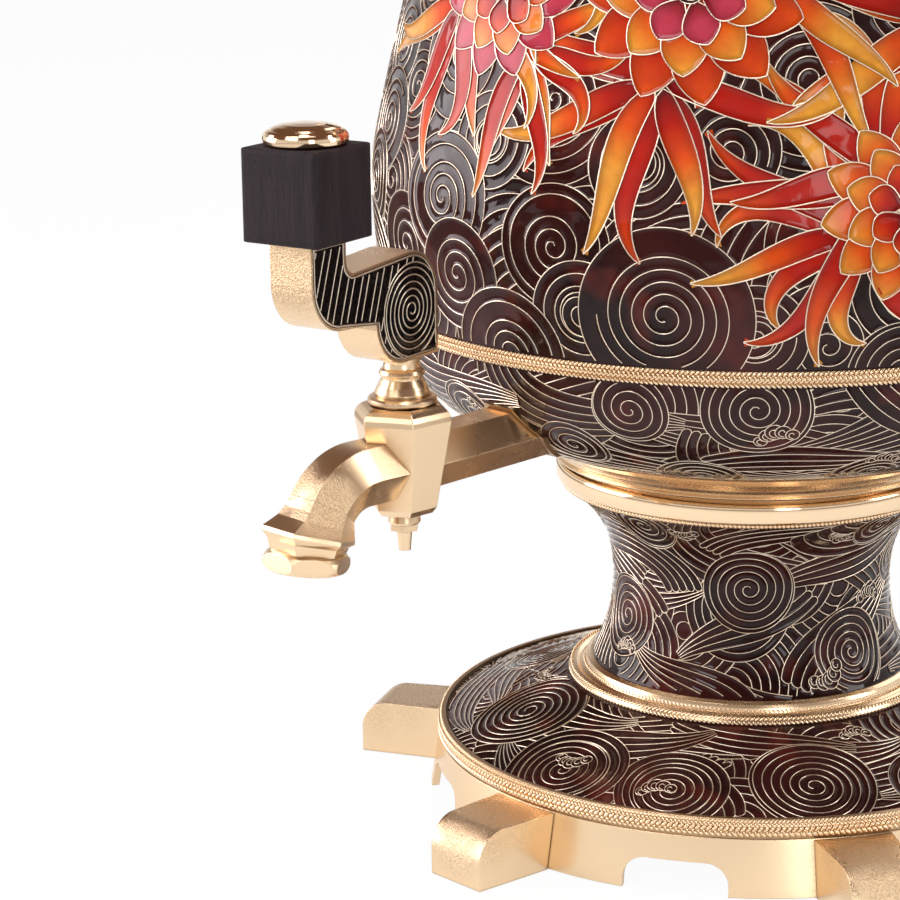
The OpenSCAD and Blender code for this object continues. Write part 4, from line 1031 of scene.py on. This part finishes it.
def stage():
    m = Nodes("floor_white")
    m.set(Base_Color=m.mix(m.noise(3), (0.90, 0.90, 0.90), (0.92, 0.92, 0.92)), Roughness=0.7)
    lp = m.add("LightPath")
    white = m.add("Emission", Color=(1, 1, 1, 1), Strength=1.0)
    other = m.math("MAXIMUM", lp.outputs["Is Glossy Ray"], lp.outputs["Is Transmission Ray"])
    camera = m.math("MULTIPLY", lp.outputs["Is Camera Ray"], 0.96)
    seen = m.math("ADD", camera, m.math("MULTIPLY", other, 0.5), clamp=True)
    table = m.add("MixShader", Fac=seen)
    m.t.links.new(m.sh.outputs[0], table.inputs[1])
    m.t.links.new(white.outputs[0], table.inputs[2])
    # in reflections the white table ends a little way out from the object, and the dim studio begins
    far = m.range(m.vector("LENGTH", m.pos), 0.45, 0.85, 0.0, 0.85)
    studio = m.add("Emission", Color=DIM_STUDIO, Strength=1.0)
    ending = m.add("MixShader", Fac=m.math("MULTIPLY", far, lp.outputs["Is Glossy Ray"]))
    m.t.links.new(table.outputs[0], ending.inputs[1])
    m.t.links.new(studio.outputs[0], ending.inputs[2])
    m.t.links.new(ending.outputs[0], m.out.inputs[0])
    me = bpy.data.meshes.new("floor")
    size, below = 4, -0.0003
    corners = [(x * size, y * size, below) for x, y in ((-1, -1), (1, -1), (1, 1), (-1, 1))]
    me.from_pydata(corners, [], [(0, 1, 2, 3)])
    me.materials.append(m.mat)
    o = bpy.data.objects.new("floor", me)
    bpy.context.scene.collection.objects.link(o)


stage()
MIDDLE = (0, 0, 0.18)


def from_middle(azimuth, elevation, dist):
    """A place by its direction from the object, with the azimuth counted from in front of the tap."""
    a, e = math.radians(azimuth), math.radians(elevation)
    return (MIDDLE[0] + dist * math.sin(a) * math.cos(e), MIDDLE[1] - dist * math.cos(a) * math.cos(e),
            MIDDLE[2] + dist * math.sin(e))


def area(name, place, size, watts, colour=(1, 1, 1)):
    """A rectangular lamp aimed at the middle of the object."""
    lamp = bpy.data.lights.new(name, "AREA")
    lamp.shape, lamp.size, lamp.size_y, lamp.energy, lamp.color = "RECTANGLE", size[0], size[1], watts, colour
    o = bpy.data.objects.new(name, lamp)
    o.location = place
    o.rotation_euler = (Vector(MIDDLE) - Vector(place)).to_track_quat("-Z", "Y").to_euler()
    bpy.context.scene.collection.objects.link(o)


area("key_left", from_middle(-50, 11, 1.4), (0.85, 1.0), 14, (1.0, 0.94, 0.97))
area("front_left", from_middle(5, 40, 1.6), (0.8, 0.6), 9)
area("fill_right", from_middle(124, 28, 1.6), (0.5, 1.1), 9)
area("front_right", from_middle(62, 6, 2.3), (0.5, 0.9), 6)
area("top", (0.05, -0.25, 1.9), (0.9, 0.9), 12)
area("back", from_middle(200, 30, 1.8), (1.2, 1.0), 6)


def surroundings():
    """A white backdrop up to a little above the horizon, and a dim warm studio over it."""
    def node(kind, **values):
        n = t.nodes.new("ShaderNode" + kind)
        for k, v in values.items():
            n.inputs[k.replace("_", " ")].default_value = v
        return n

    world = bpy.data.worlds.new("studio")
    bpy.context.scene.world = world
    world.use_nodes = True
    t = world.node_tree
    t.nodes.clear()
    out = node("OutputWorld")
    soft_light = node("Background", Color=(0.86, 0.84, 0.82, 1), Strength=0.34)
    white = node("Background", Color=(1, 1, 1, 1), Strength=1.0)
    mirror = node("Background", Strength=1.0)
    coord, xyz, lp = node("TexCoord"), node("SeparateXYZ"), node("LightPath")
    height = node("MapRange", From_Min=0.06, From_Max=0.46)
    shade = t.nodes.new("ShaderNodeMix")
    shade.data_type = "RGBA"
    shade.inputs[6].default_value = (1, 1, 1, 1)
    shade.inputs[7].default_value = DIM_STUDIO
    first, second = node("MixShader"), node("MixShader")
    for a, b in ((coord.outputs["Generated"], xyz.inputs[0]), (xyz.outputs["Z"], height.inputs["Value"]),
                 (height.outputs[0], shade.inputs[0]), (shade.outputs[2], mirror.inputs[0]),
                 (lp.outputs["Is Camera Ray"], first.inputs[0]), (mirror.outputs[0], first.inputs[1]),
                 (white.outputs[0], first.inputs[2]), (lp.outputs["Is Diffuse Ray"], second.inputs[0]),
                 (first.outputs[0], second.inputs[1]), (soft_light.outputs[0], second.inputs[2]),
                 (second.outputs[0], out.inputs[0])):
        t.links.new(a, b)


surroundings()
bpy.context.scene.view_settings.view_transform = "Standard"
